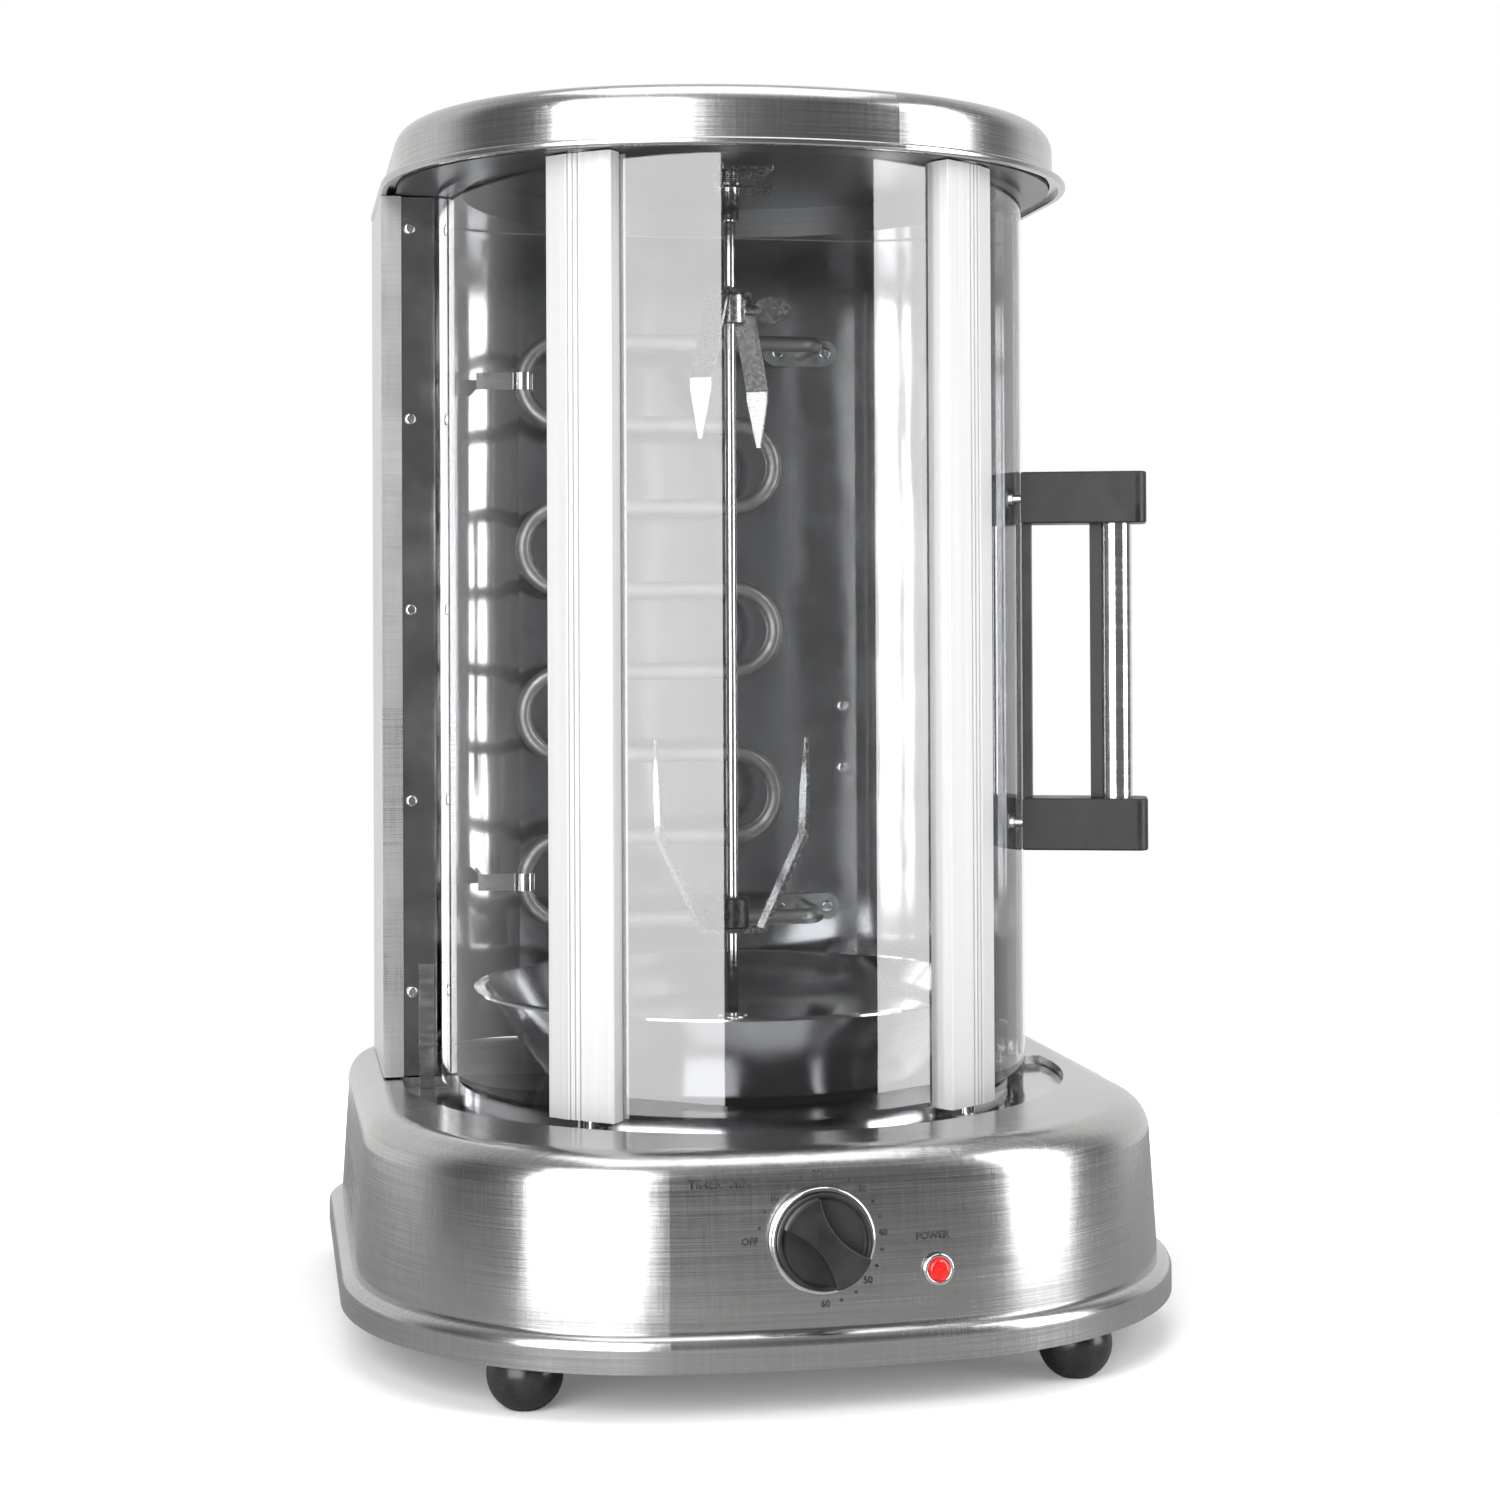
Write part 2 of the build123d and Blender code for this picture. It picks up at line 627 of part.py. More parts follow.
with BuildPart() as reflector:
    with BuildSketch(Plane.XY.offset(housing_bottom)):
        add(reflector_plan(0))
        add(reflector_plan(thin_sheet), mode=Mode.SUBTRACT)
        for inner, outer in ((1 - reflector_mouth, seat_gap - housing_inner),
                             (reflector_mouth - 1, right_edge)):
            with Locations(((inner + outer) / 2, reflector_plane + thin_sheet / 2)):
                Rectangle(abs(outer - inner), thin_sheet)
        # right edge folded back along the housing wall
        with Locations((right_edge - thin_sheet / 2, reflector_plane + 8)):
            Rectangle(thin_sheet, 16)
    extrude(amount=housing_top - housing_bottom)
    # holes for the two ends of the heater
    with BuildSketch(Plane.XZ.offset(-heater_plane)):
        with Locations(*[(terminal_x, z) for z in heater_ends]):
            Circle(heater_tube / 2 + 1.5)
    extrude(amount=-60, mode=Mode.SUBTRACT)
    add(screw_holes(left_screw_planes + right_screw_planes, reflector_screw), mode=Mode.SUBTRACT)
    add(screw_holes(thermostat_screw_planes, thermostat_screw), mode=Mode.SUBTRACT)
finish(reflector, "reflector")
screw_group(
    "reflector_screws", left_screw_planes + right_screw_planes, 5.0, reflector_screw, 4.0,
)

# ---- polished corner bracket low on the left ----
bracket_width = 6.4
bracket_height = 54.0
with BuildPart() as corner_bracket:
    with BuildSketch(Plane.XY.offset(well_floor + 2.0)):
        with Locations((-reflector_mouth - bracket_width / 2 - 0.4, reflector_plane - 0.9 - seat_gap)):
            Rectangle(bracket_width, 1.4)
    extrude(amount=bracket_height)
finish(corner_bracket, "corner_bracket")

# ---- heater: one tube bent into rungs, its ends turned back through the reflector ----
bend = heater_pitch / 2
rung_left = heater_left + heater_tube / 2 + bend
rung_right = heater_right - heater_tube / 2 - bend
end_bend = 10.0
terminal_gap = 1.0           # ends of the tube to the back of the housing
terminal_back = housing_back - thin_sheet - terminal_gap
with BuildPart() as heater_element:
    with BuildLine() as route:
        Line((terminal_x, terminal_back, heater_top), (terminal_x, heater_plane + end_bend, heater_top))
        turn_in = sin(radians(45)) * end_bend
        ThreePointArc(
            (terminal_x, heater_plane + end_bend, heater_top),
            (terminal_x - end_bend + turn_in, heater_plane + end_bend - turn_in, heater_top),
            (terminal_x - end_bend, heater_plane, heater_top),
        )
        Line((terminal_x - end_bend, heater_plane, heater_top), (rung_left, heater_plane, heater_top))
        for i in range(heater_rungs - 1):
            high = heater_top - i * heater_pitch
            low = high - heater_pitch
            end, way = (rung_left, -1) if i % 2 == 0 else (rung_right, 1)
            ThreePointArc(
                (end, heater_plane, high),
                (end + way * bend, heater_plane, high - bend),
                (end, heater_plane, low),
            )
            if i < heater_rungs - 2:
                other = rung_right if end == rung_left else rung_left
                Line((end, heater_plane, low), (other, heater_plane, low))
        Line((rung_left, heater_plane, heater_bottom), (terminal_x - end_bend, heater_plane, heater_bottom))
        ThreePointArc(
            (terminal_x - end_bend, heater_plane, heater_bottom),
            (terminal_x - end_bend + turn_in, heater_plane + end_bend - turn_in, heater_bottom),
            (terminal_x, heater_plane + end_bend, heater_bottom),
        )
        Line(
            (terminal_x, heater_plane + end_bend, heater_bottom),
            (terminal_x, terminal_back, heater_bottom),
        )
    with BuildSketch(Plane(origin=(terminal_x, terminal_back, heater_top), z_dir=(0, -1, 0))):
        Circle(heater_tube / 2)
    sweep(path=route.line)
finish(heater_element, "heater_element")
# ---- heater flanges and their screws ----
with BuildPart() as heater_flanges:
    for z in heater_ends:
        with BuildSketch(Plane(origin=(terminal_x, flange_y, z), x_dir=(1, 0, 0), z_dir=(0, -1, 0))):
            SlotCenterToCenter(2 * flange_screw_spread, 13)
            Circle(heater_tube / 2 + seat_gap, mode=Mode.SUBTRACT)
            with Locations((flange_screw_spread, 0), (-flange_screw_spread, 0)):
                Circle(flange_screw / 2 + hole_clearance, mode=Mode.SUBTRACT)
        extrude(amount=1.5)
finish(heater_flanges, "heater_flanges")
screw_group("heater_flange_screws", flange_screw_planes, 6.0, flange_screw, 1.7)

# ---- clamps that hold the top and bottom left bends to the reflector ----
clamp_x = heater_left + heater_tube / 2
clamp_tab = 2.4
tab_length = 22.0
leg_x = clamp_x - tab_length + clamp_tab / 2
corner_x = reflector_mouth - reflector_corner
corner_y = reflector_back - reflector_corner
leg_end = corner_y - seat_gap + sqrt(
    (reflector_corner - thin_sheet) ** 2 - (clamp_tab / 2 - leg_x - corner_x) ** 2
)
with BuildPart() as heater_clamps:
    for z in (heater_bottom + bend, heater_top - bend):
        with BuildSketch(Plane.XY.offset(z - 4)):
            with Locations((clamp_x, heater_plane)):
                Circle(heater_tube / 2 + 1.4)
            with Locations((clamp_x - tab_length / 2, heater_plane)):
                Rectangle(tab_length, clamp_tab)
            with Locations((leg_x, (heater_plane + leg_end) / 2)):
                Rectangle(clamp_tab, leg_end - heater_plane)
            with Locations((clamp_x, heater_plane)):
                Circle(heater_tube / 2 + 0.5, mode=Mode.SUBTRACT)
        extrude(amount=8)
finish(heater_clamps, "heater_clamps")

# ---- glass panes ----
bar_half_angle = degrees(asin(bar_width / 2 / bar_circle))
groove_depth = 3.0
groove_angle = degrees(groove_depth / drum_radius)
front_gap = 1.4              # front pane to the edge of the door's bar as it swings past
groove_end_gap = degrees(0.3 / drum_radius)
side_pane_start = bar_angle + bar_half_angle - groove_angle + groove_end_gap
front_pane_left = bar_angle - bar_half_angle + groove_angle - groove_end_gap
bar_reach = bar_sweep + front_gap
front_pane_right = bar_angle - degrees(
    acos((bar_circle**2 + drum_radius**2 - bar_reach**2) / (2 * bar_circle * drum_radius))
)


def sector(inner, outer, start, end):
    """Ring sector between two angles from the front."""
    middle = (start + end) / 2
    with BuildSketch() as piece:
        with BuildLine():
            ThreePointArc(polar(outer, start), polar(outer, middle), polar(outer, end))
            Line(polar(outer, end), polar(inner, end))
            ThreePointArc(polar(inner, end), polar(inner, middle), polar(inner, start))
            Line(polar(inner, start), polar(outer, start))
        make_face()
    return piece.sketch


handle_screw_heights = (
    handle_bottom + handle_block_height / 2,
    handle_bottom + handle_length - handle_block_height / 2,
)
handle_screw_diameter = 4.0
with BuildPart() as front_glass:
    with BuildSketch(Plane.XY.offset(glass_bottom)):
        add(sector(glass_inner, drum_radius, -front_pane_left, front_pane_right))
    extrude(amount=drum_height)
finish(front_glass, "front_glass")
with BuildPart() as left_glass:
    with BuildSketch(Plane.XY.offset(glass_bottom)):
        add(sector(glass_inner, drum_radius, -pane_end_angle, -side_pane_start))
    extrude(amount=drum_height)
finish(left_glass, "left_glass")
with BuildPart() as right_glass:
    with BuildSketch(Plane.XY.offset(glass_bottom)):
        add(sector(glass_inner, drum_radius, side_pane_start, pane_end_angle))
    extrude(amount=drum_height)
    for z in handle_screw_heights:
        with BuildSketch(radial_plane(drum_radius, handle_angle, z)):
            Circle(handle_screw_diameter / 2 + 0.5)
        extrude(amount=8, both=True, mode=Mode.SUBTRACT)
finish(right_glass, "right_glass")
# ---- aluminium bars: broad flat, ribbed band, bevelled flank, groove for the side pane ----
rib_grooves = (-0.6, 1.8, 4.2)
rib_groove_width = 1.1
rib_groove_depth = 0.9
bevel_start = 5.6
bevel_drop = 2.2


def bar_section(side):
    """Section of a bar in plan; only the fixed left bar also grips the front pane."""
    half = bar_width / 2
    if side < 0:
        outline = [(-half, bar_inner)]
    else:
        outline = [(-sqrt(half**2 - bar_inner**2), bar_inner)]
        outline += [(-half * cos(radians(15)), -half * sin(radians(15))), (-half, 0)]
    outline += [(-half, bar_face - 0.6), (-half + 0.6, bar_face)]
    for middle in rib_grooves:
        for edge, depth in ((-1, 0), (-0.6, 1), (0.6, 1), (1, 0)):
            outline.append(
                (middle + edge * rib_groove_width / 2, bar_face - depth * rib_groove_depth)
            )
    outline += [(bevel_start, bar_face), (half, bar_face - bevel_drop), (half, bar_inner)]
    across = Vector(cos(radians(side * bar_angle)), sin(radians(side * bar_angle)))
    out = Vector(*polar(1, side * bar_angle))
    centre = out * bar_circle
    points = [centre + across * (side * u) + out * v for u, v in outline]
    start = bar_angle + bar_half_angle - groove_angle
    grooves = [(start, start + bar_half_angle)]
    if side < 0:
        start = bar_angle - bar_half_angle + groove_angle
        grooves.append((start - bar_half_angle, start))
    with BuildSketch() as section:
        with BuildLine():
            Polyline(*[(p.X, p.Y) for p in points], close=True)
        make_face()
        for start, end in grooves:
            add(
                sector(glass_inner - groove_clearance, drum_radius + groove_clearance,
                       side * start, side * end),
                mode=Mode.SUBTRACT,
            )
    return section.sketch


pin_reach = 6.5
for side, name in ((-1, "left"), (1, "right")):
    x, y = polar(bar_circle, side * bar_angle)
    with BuildPart() as bar:
        with BuildSketch(Plane.XY.offset(bar_bottom)):
            add(bar_section(side))
            with Locations((x, y)):
                Circle(bar_pin_diameter / 2, mode=Mode.SUBTRACT)
        extrude(amount=bar_top - bar_bottom)
    finish(bar, f"{name}_bar")
    with BuildPart() as bar_pins:
        for face, way, out_to in ((bar_bottom, 1, well_floor - pin_reach),
                                  (bar_top, -1, ceiling_flat + pin_reach)):
            with BuildSketch(Plane.XY.offset(out_to)):
                with Locations((x, y)):
                    Circle(bar_pin_diameter / 2)
            extrude(amount=way * (abs(out_to - face) + 18))
    finish(bar_pins, f"{name}_bar_pins")

# ---- spring catch that the door's free edge snaps over ----
catch_angle = pane_end_angle - 3.0
catch_inner = floor_ring_radius - 9.0
catch_face = glass_inner - air_gap
with BuildPart() as door_catch:
    with BuildSketch(Plane(origin=(0, 0, 0), x_dir=(*polar(1, catch_angle), 0),
                           z_dir=(-cos(radians(catch_angle)), -sin(radians(catch_angle)), 0))):
        with BuildLine():
            Polyline(
                (catch_inner, floor_level + seat_gap),
                (catch_face - 2.2, floor_level + seat_gap),
                (catch_face - 2.2, floor_level + 4),
                (catch_face, floor_level + 7),
                (catch_face - 1.6, floor_level + 11),
                (catch_face - 2.4, floor_level + 11),
                (catch_face - 1.0, floor_level + 7),
                (catch_face - 3.0, floor_level + 4),
                (catch_face - 3.0, floor_level + 1.0),
                (catch_inner, floor_level + 1.0),
                close=True,
            )
        make_face()
    extrude(amount=5, both=True)
finish(door_catch, "door_catch")

# ---- door handle: two blocks, a strip against the glass, a core and a steel tube ----
block_width = 24.0
block_reach = handle_standoff + 11.0
spine_thickness = 4.2
grip_radius = drum_radius + handle_standoff
handle_gap = handle_length - 2 * handle_block_height
for name, bottom in (("bottom", handle_bottom),
                     ("top", handle_bottom + handle_length - handle_block_height)):
    screw_z = bottom + handle_block_height / 2
    with BuildPart() as block:
        with BuildSketch(Plane.XY.offset(bottom)):
            with Locations(Location(Plane(
                origin=(*polar(drum_radius + block_reach / 2, handle_angle), 0),
                x_dir=(*polar(1, handle_angle), 0), z_dir=(0, 0, 1),
            ))):
                Rectangle(block_reach + 6, block_width)
            Circle(drum_radius + seat_gap, mode=Mode.SUBTRACT)
        extrude(amount=handle_block_height)
        radial = Vector(*polar(1, handle_angle), 0)
        ends_out = block.edges().filter_by(Axis.Z).sort_by(lambda e: e.center().dot(radial))[-2:]
        fillet(ends_out, 5.0)
        fillet(block.faces().filter_by(Axis.Z).edges(), 1.0)
        tube_foot = bottom - 1 if name == "top" else bottom + handle_block_height - 3
        with BuildSketch(Plane.XY.offset(tube_foot)):
            with Locations(polar(grip_radius, handle_angle)):
                Circle(handle_tube_diameter / 2 + 0.1)
        extrude(amount=4, mode=Mode.SUBTRACT)
        with BuildSketch(radial_plane(drum_radius, handle_angle, screw_z)):
            Circle(handle_screw_diameter / 2 + 0.1)
        extrude(amount=16, mode=Mode.SUBTRACT)
    finish(block, f"handle_block_{name}")
gap_bottom = handle_bottom + handle_block_height + seat_gap
with BuildPart() as handle_spine:
    with BuildSketch(Plane.XY.offset(gap_bottom)):
        half = degrees(block_width * 0.36 / drum_radius)
        add(sector(drum_radius + seat_gap, drum_radius + spine_thickness,
                   handle_angle - half, handle_angle + half))
    extrude(amount=handle_gap - 2 * seat_gap)
finish(handle_spine, "handle_spine")
tube_radius = handle_tube_diameter / 2
with BuildPart() as handle_tube:
    with BuildSketch(Plane.XY.offset(gap_bottom - 2.9)):
        with Locations(polar(grip_radius, handle_angle)):
            Circle(tube_radius)
            Circle(tube_radius - 1.2, mode=Mode.SUBTRACT)
    extrude(amount=handle_gap - 2 * seat_gap + 5.6)
finish(handle_tube, "handle_tube")
with BuildPart() as handle_core:
    with BuildSketch(Plane.XY.offset(gap_bottom)):
        half = degrees(5.0 / grip_radius)
        add(sector(grip_radius - tube_radius - 3.6, grip_radius - tube_radius * 0.6,
                   handle_angle - half, handle_angle + half))
        with Locations(polar(grip_radius, handle_angle)):
            Circle(tube_radius + 0.1, mode=Mode.SUBTRACT)
    extrude(amount=handle_gap - 2 * seat_gap)
finish(handle_core, "handle_core")


def inward_plane(radius, angle, z):
    """Plane at a point of the drum, facing the axis."""
    x, y = polar(radius, angle)
    return Plane(
        origin=(x, y, z),
        x_dir=(-cos(radians(angle)), -sin(radians(angle)), 0),
        z_dir=(-sin(radians(angle)), cos(radians(angle)), 0),
    )


screw_group(
    "handle_screws",
    [inward_plane(glass_inner - seat_gap, handle_angle, z) for z in handle_screw_heights],
    8.0, handle_screw_diameter, 18.0,
)

# ---- drive: motor, bracket, shaft, bush and socket ----
motor_top = well_floor - sheet - 14.0
motor_height = 26.0
shaft_diameter = 7.0
socket_bottom = motor_top + 6.0
shaft_bottom = motor_top - 13.0
socket_top = floor_level + 26.0
rod_seat = socket_top - 14.0
with BuildPart() as drive_motor:
    with BuildSketch(Plane.XY.offset(motor_top)):
        Circle(26)
    extrude(amount=-motor_height)
    fillet(drive_motor.faces().filter_by(Axis.Z).edges(), 2)
    with BuildSketch(Plane.XY.offset(motor_top)):
        Circle(8)
    extrude(amount=4)
    with BuildSketch(Plane.XY.offset(motor_top + 4)):
        Circle(shaft_diameter / 2 + running_fit)
    extrude(amount=-18, mode=Mode.SUBTRACT)
finish(drive_motor, "drive_motor")
with BuildPart() as motor_bracket:
    with BuildSketch(Plane.XY.offset(motor_top + seat_gap)):
        SlotCenterToCenter(72, 24)
        Circle(8 + 1.0, mode=Mode.SUBTRACT)
        with Locations(*motor_screw_places):
            Circle(motor_screw / 2 + hole_clearance, mode=Mode.SUBTRACT)
    extrude(amount=1.5)
    with BuildSketch(Plane.XY.offset(motor_top + seat_gap + 1.5)):
        with Locations(*motor_screw_places):
            Circle(4)
            Circle(motor_screw / 2 + hole_clearance, mode=Mode.SUBTRACT)
    extrude(amount=well_floor - sheet - seat_gap - (motor_top + seat_gap + 1.5))
finish(motor_bracket, "motor_bracket")
screw_group(
    "motor_screws",
    [Plane(origin=(x, y, motor_top), z_dir=(0, 0, -1)) for x, y in motor_screw_places],
    6.0, motor_screw, 17.0,
)
with BuildPart() as drive_bush:
    with BuildSketch(Plane.XY.offset(floor_level - thin_sheet - 2)):
        Circle(socket_diameter / 2 + 2.0 - 0.1)
    extrude(amount=thin_sheet + 2)
    with BuildSketch(Plane.XY.offset(floor_level + 0.1)):
        Circle(socket_diameter / 2 + 4.0)
    extrude(amount=1.2)
    with BuildSketch(Plane.XY.offset(floor_level - thin_sheet)):
        Circle(socket_diameter / 2 + 1.9)
    extrude(amount=thin_sheet + 0.5)
    with BuildSketch(Plane.XY.offset(floor_level - 8)):
        Circle(socket_diameter / 2 + running_fit)
    extrude(amount=14, mode=Mode.SUBTRACT)
finish(drive_bush, "drive_bush")
with BuildPart() as drive_socket:
    with BuildSketch(Plane.XY.offset(socket_bottom)):
        Circle(socket_diameter / 2)
    extrude(amount=socket_top - socket_bottom)
    fillet(drive_socket.faces().sort_by(Axis.Z)[-1].edges(), 1.5)
    with BuildSketch(Plane.XY.offset(shaft_bottom)):
        Circle(shaft_diameter / 2)
    extrude(amount=socket_bottom - shaft_bottom)
    with BuildSketch(Plane.XY.offset(socket_top)):
        Circle(spit_diameter / 2 + slip_fit)
    extrude(amount=-(socket_top - rod_seat), mode=Mode.SUBTRACT)
finish(drive_socket, "drive_socket")

# ---- drip bowl with a chimney round the drive socket ----
bowl_floor = floor_level + 1.6
bowl_rim = bowl_floor + bowl_depth
bowl_wall = 1.0
chimney_radius = socket_diameter / 2 + 5.5
chimney_height = 20.0
rim_width = 4.0
with BuildPart() as drip_bowl:
    with BuildSketch(Plane.XZ):
        with BuildLine():
            Polyline(
                (chimney_radius, bowl_floor),
                (bowl_base_radius, bowl_floor),
                (bowl_rim_radius - rim_width, bowl_rim),
                (bowl_rim_radius, bowl_rim),
                (bowl_rim_radius, bowl_rim + bowl_wall),
                (bowl_rim_radius - rim_width - bowl_wall, bowl_rim + bowl_wall),
                (bowl_base_radius - bowl_wall, bowl_floor + bowl_wall),
                (chimney_radius + bowl_wall, bowl_floor + bowl_wall),
                (chimney_radius + bowl_wall, bowl_floor + chimney_height),
                (chimney_radius, bowl_floor + chimney_height),
                close=True,
            )
        make_face()
    revolve(axis=Axis.Z)
    circles = drip_bowl.edges().filter_by(GeomType.CIRCLE)
    fillet(circles.filter_by(lambda e: abs(e.radius - bowl_base_radius) < 0.01), 6.0)
    fillet(circles.filter_by(lambda e: abs(e.radius - bowl_base_radius + bowl_wall) < 0.01), 5.0)
finish(drip_bowl, "drip_bowl")

# ---- spit rod ----
with BuildPart() as spit_rod:
    with BuildSketch(Plane.XY.offset(rod_seat + 0.1)):
        Circle(spit_diameter / 2)
    extrude(amount=spit_top - rod_seat - 0.1)
    chamfer(spit_rod.faces().sort_by(Axis.Z)[-1].edges(), 0.8)
finish(spit_rod, "spit_rod")


# ---- meat forks: hub, two flat tines in one bent strip, thumbscrew ----
tine_thickness = 2.0
tine_width = 10.0
thumb_shank = 5.0
thumb_length = 9.0
thumb_head = (17.5, 12.0, 3.0)


def fork_strip(tine):
    """Side view of the bent strip: flat under the hub, flaring, then straight tines."""
    inner = [(13.0, 0.0), (fork_reach - 3.0, 42.0), (fork_reach - 1.0, tine)]
    outer = [(fork_reach + 0.2, tine), (fork_reach - 1.0, 41.0), (14.3, -tine_thickness)]
    right = inner + outer
    left = [(-x, z) for x, z in reversed(right)]
    return right + left


def make_fork(name, hub_middle, up, tine, turn, screw_turn):
    """Writes the hub, the tines and the thumbscrew of one fork."""
    half = fork_hub_height / 2
    turned = Plane(origin=(0, 0, hub_middle), x_dir=(cos(radians(turn)), sin(radians(turn)), 0),
                   z_dir=(0, 0, 1))
    screw_way = (cos(radians(screw_turn)), sin(radians(screw_turn)), 0)
    screw_plane = Plane(origin=(0, 0, hub_middle), x_dir=(0, 0, 1), z_dir=screw_way)
    with BuildPart() as hub:
        with BuildSketch(Plane.XY.offset(hub_middle - half)):
            Circle(fork_hub_diameter / 2)
            Circle(spit_diameter / 2 + slip_fit, mode=Mode.SUBTRACT)
        extrude(amount=fork_hub_height)
        chamfer(hub.faces().filter_by(Axis.Z).edges().filter_by(
            lambda e: e.radius > spit_diameter), 0.8)
        with BuildSketch(screw_plane):
            Circle(thumb_shank / 2 + slip_fit)
        extrude(amount=fork_hub_diameter, mode=Mode.SUBTRACT)
    finish(hub, f"{name}_fork_hub")
    side_view = Plane(origin=turned.origin, x_dir=turned.x_dir, z_dir=turned.y_dir * -1)
    with BuildPart() as tines:
        with BuildSketch(side_view):
            with BuildLine():
                Polyline(
                    *[(x, up * (z - half - seat_gap)) for x, z in fork_strip(tine)],
                    close=True,
                )
            make_face()
        extrude(amount=tine_width / 2, both=True)
        with BuildSketch(Plane(origin=turned.origin, x_dir=turned.y_dir, z_dir=turned.x_dir)):
            tip = up * (tine - half - seat_gap)
            for way in (-1, 1):
                with BuildLine():
                    Polyline(
                        (way * 0.8, tip), (way * tine_width, tip), (way * tine_width, tip - up * 22),
                        (way * tine_width / 2, tip - up * 22), close=True,
                    )
                make_face()
        extrude(amount=fork_reach * 2, both=True, mode=Mode.SUBTRACT)
        with BuildSketch(Plane.XY.offset(hub_middle - fork_hub_height)):
            Circle(spit_diameter / 2 + slip_fit)
        extrude(amount=fork_hub_height * 2, mode=Mode.SUBTRACT)
    finish(tines, f"{name}_fork")
    with BuildPart() as thumbscrew:
        with BuildSketch(screw_plane.offset(spit_diameter / 2 + seat_gap)):
            Circle(thumb_shank / 2)
        extrude(amount=fork_hub_diameter / 2 - spit_diameter / 2 + thumb_length - 4)
        head_middle = fork_hub_diameter / 2 + thumb_length - 6 + thumb_head[0] / 2
        with BuildSketch(Plane(
            origin=Vector(*screw_way) * head_middle + Vector(0, 0, hub_middle),
            x_dir=screw_way, z_dir=(-screw_way[1], screw_way[0], 0),
        )):
            Ellipse(thumb_head[0] / 2, thumb_head[1] / 2)
        extrude(amount=thumb_head[2] / 2, both=True)
    finish(thumbscrew, f"{name}_thumbscrew")


make_fork("lower", lower_fork_height, 1, lower_tine, 6.0, -128.0)
make_fork("upper", upper_fork_height, -1, upper_tine, upper_fork_turn, 0.0)

# ---- sprung top bearing on its bracket ----
bracket_bottom = ceiling_flat + 4.0
bracket_top = ceiling_level - seat_gap
plunger_diameter = 9.0
collar_diameter = 13.0
stem_diameter = 3.0
boss_height = 1.2
bracket_plate = 1.2
plunger_bottom = spit_top - 3.0
collar_bottom = bracket_bottom + bracket_plate + 0.1
with BuildPart() as top_bearing_bracket:
    for z in (bracket_bottom, bracket_top - bracket_plate):
        with BuildSketch(Plane.XY.offset(z)):
            with Locations((7, 1)):
                RectangleRounded(25, 20, 1.5)
        extrude(amount=bracket_plate)
    with BuildSketch(Plane.XY.offset(bracket_bottom)):
        with Locations((7, 11 - bracket_plate / 2)):
            Rectangle(25, bracket_plate)
    extrude(amount=bracket_top - bracket_bottom)
    with BuildSketch(Plane.XY.offset(bracket_bottom)):
        Circle(plunger_diameter / 2 + running_fit)
    extrude(amount=bracket_plate, mode=Mode.SUBTRACT)
    with BuildSketch(Plane.XY.offset(bracket_bottom)):
        with Locations((15, 2)):
            Circle(1.6)
    extrude(amount=40, mode=Mode.SUBTRACT)
finish(top_bearing_bracket, "top_bearing_bracket")
with BuildPart() as bearing_plunger:
    with BuildSketch(Plane.XY.offset(plunger_bottom)):
        Circle(plunger_diameter / 2)
    extrude(amount=collar_bottom + 1.4 - plunger_bottom)
    with BuildSketch(Plane.XY.offset(collar_bottom)):
        Circle(collar_diameter / 2)
    extrude(amount=1.4)
    with BuildSketch(Plane.XY.offset(collar_bottom + 1.4)):
        Circle(stem_diameter / 2)
    extrude(amount=boss_height)
    with BuildSketch(Plane.XY.offset(plunger_bottom)):
        Circle(spit_diameter / 2 + running_fit)
    extrude(amount=spit_top + 0.1 - plunger_bottom, mode=Mode.SUBTRACT)
finish(bearing_plunger, "bearing_plunger")
spring_wire = 0.8
spring_bottom = collar_bottom + 1.4 + spring_wire / 2 + 0.05
spring_length = bracket_top - bracket_plate - spring_wire / 2 - 0.05 - spring_bottom
with BuildPart() as bearing_spring:
    with BuildLine(Plane.XY.offset(spring_bottom)) as coil:
        Helix(pitch=spring_length / 5, height=spring_length, radius=3.4)
    with BuildSketch(Plane(origin=coil.line @ 0, z_dir=coil.line % 0)):
        Circle(spring_wire / 2)
    sweep(path=coil.line, is_frenet=True)
finish(bearing_spring, "bearing_spring")

# ---- timer, its bezel, shaft and knob ----
timer_size = (42.0, 40.0, 26.0)
timer_setback = sheet + 1.2
knob_skirt = 7.0
knob_top = 15.0
bezel_height = 4.6
with BuildPart() as timer_body:
    with BuildSketch(knob_plane.offset(-timer_setback)):
        RectangleRounded(timer_size[0], timer_size[1], 4)
    extrude(amount=-timer_size[2])
    with BuildSketch(knob_plane.offset(-timer_setback)):
        Circle(timer_shaft_diameter / 2 + running_fit)
    extrude(amount=-14, mode=Mode.SUBTRACT)
finish(timer_body, "timer_body")
with BuildPart() as timer_bezel:
    with BuildSketch(knob_plane.offset(0.5)):
        Circle(knob_bezel_diameter / 2)
        Circle(knob_diameter / 2 + air_gap, mode=Mode.SUBTRACT)
    extrude(amount=bezel_height)
    outer = timer_bezel.faces().sort_by(Axis((0, 0, 0), knob_plane.z_dir))[-1].edges()
    fillet(outer.sort_by(SortBy.RADIUS)[-1], 1.1)
finish(timer_bezel, "timer_bezel")
with BuildPart() as timer_shaft:
    with BuildSketch(knob_plane.offset(knob_skirt - 1.0)):
        Circle(timer_shaft_diameter / 2)
    extrude(amount=-(knob_skirt + 13))
finish(timer_shaft, "timer_shaft")
grip_turn = -57.0
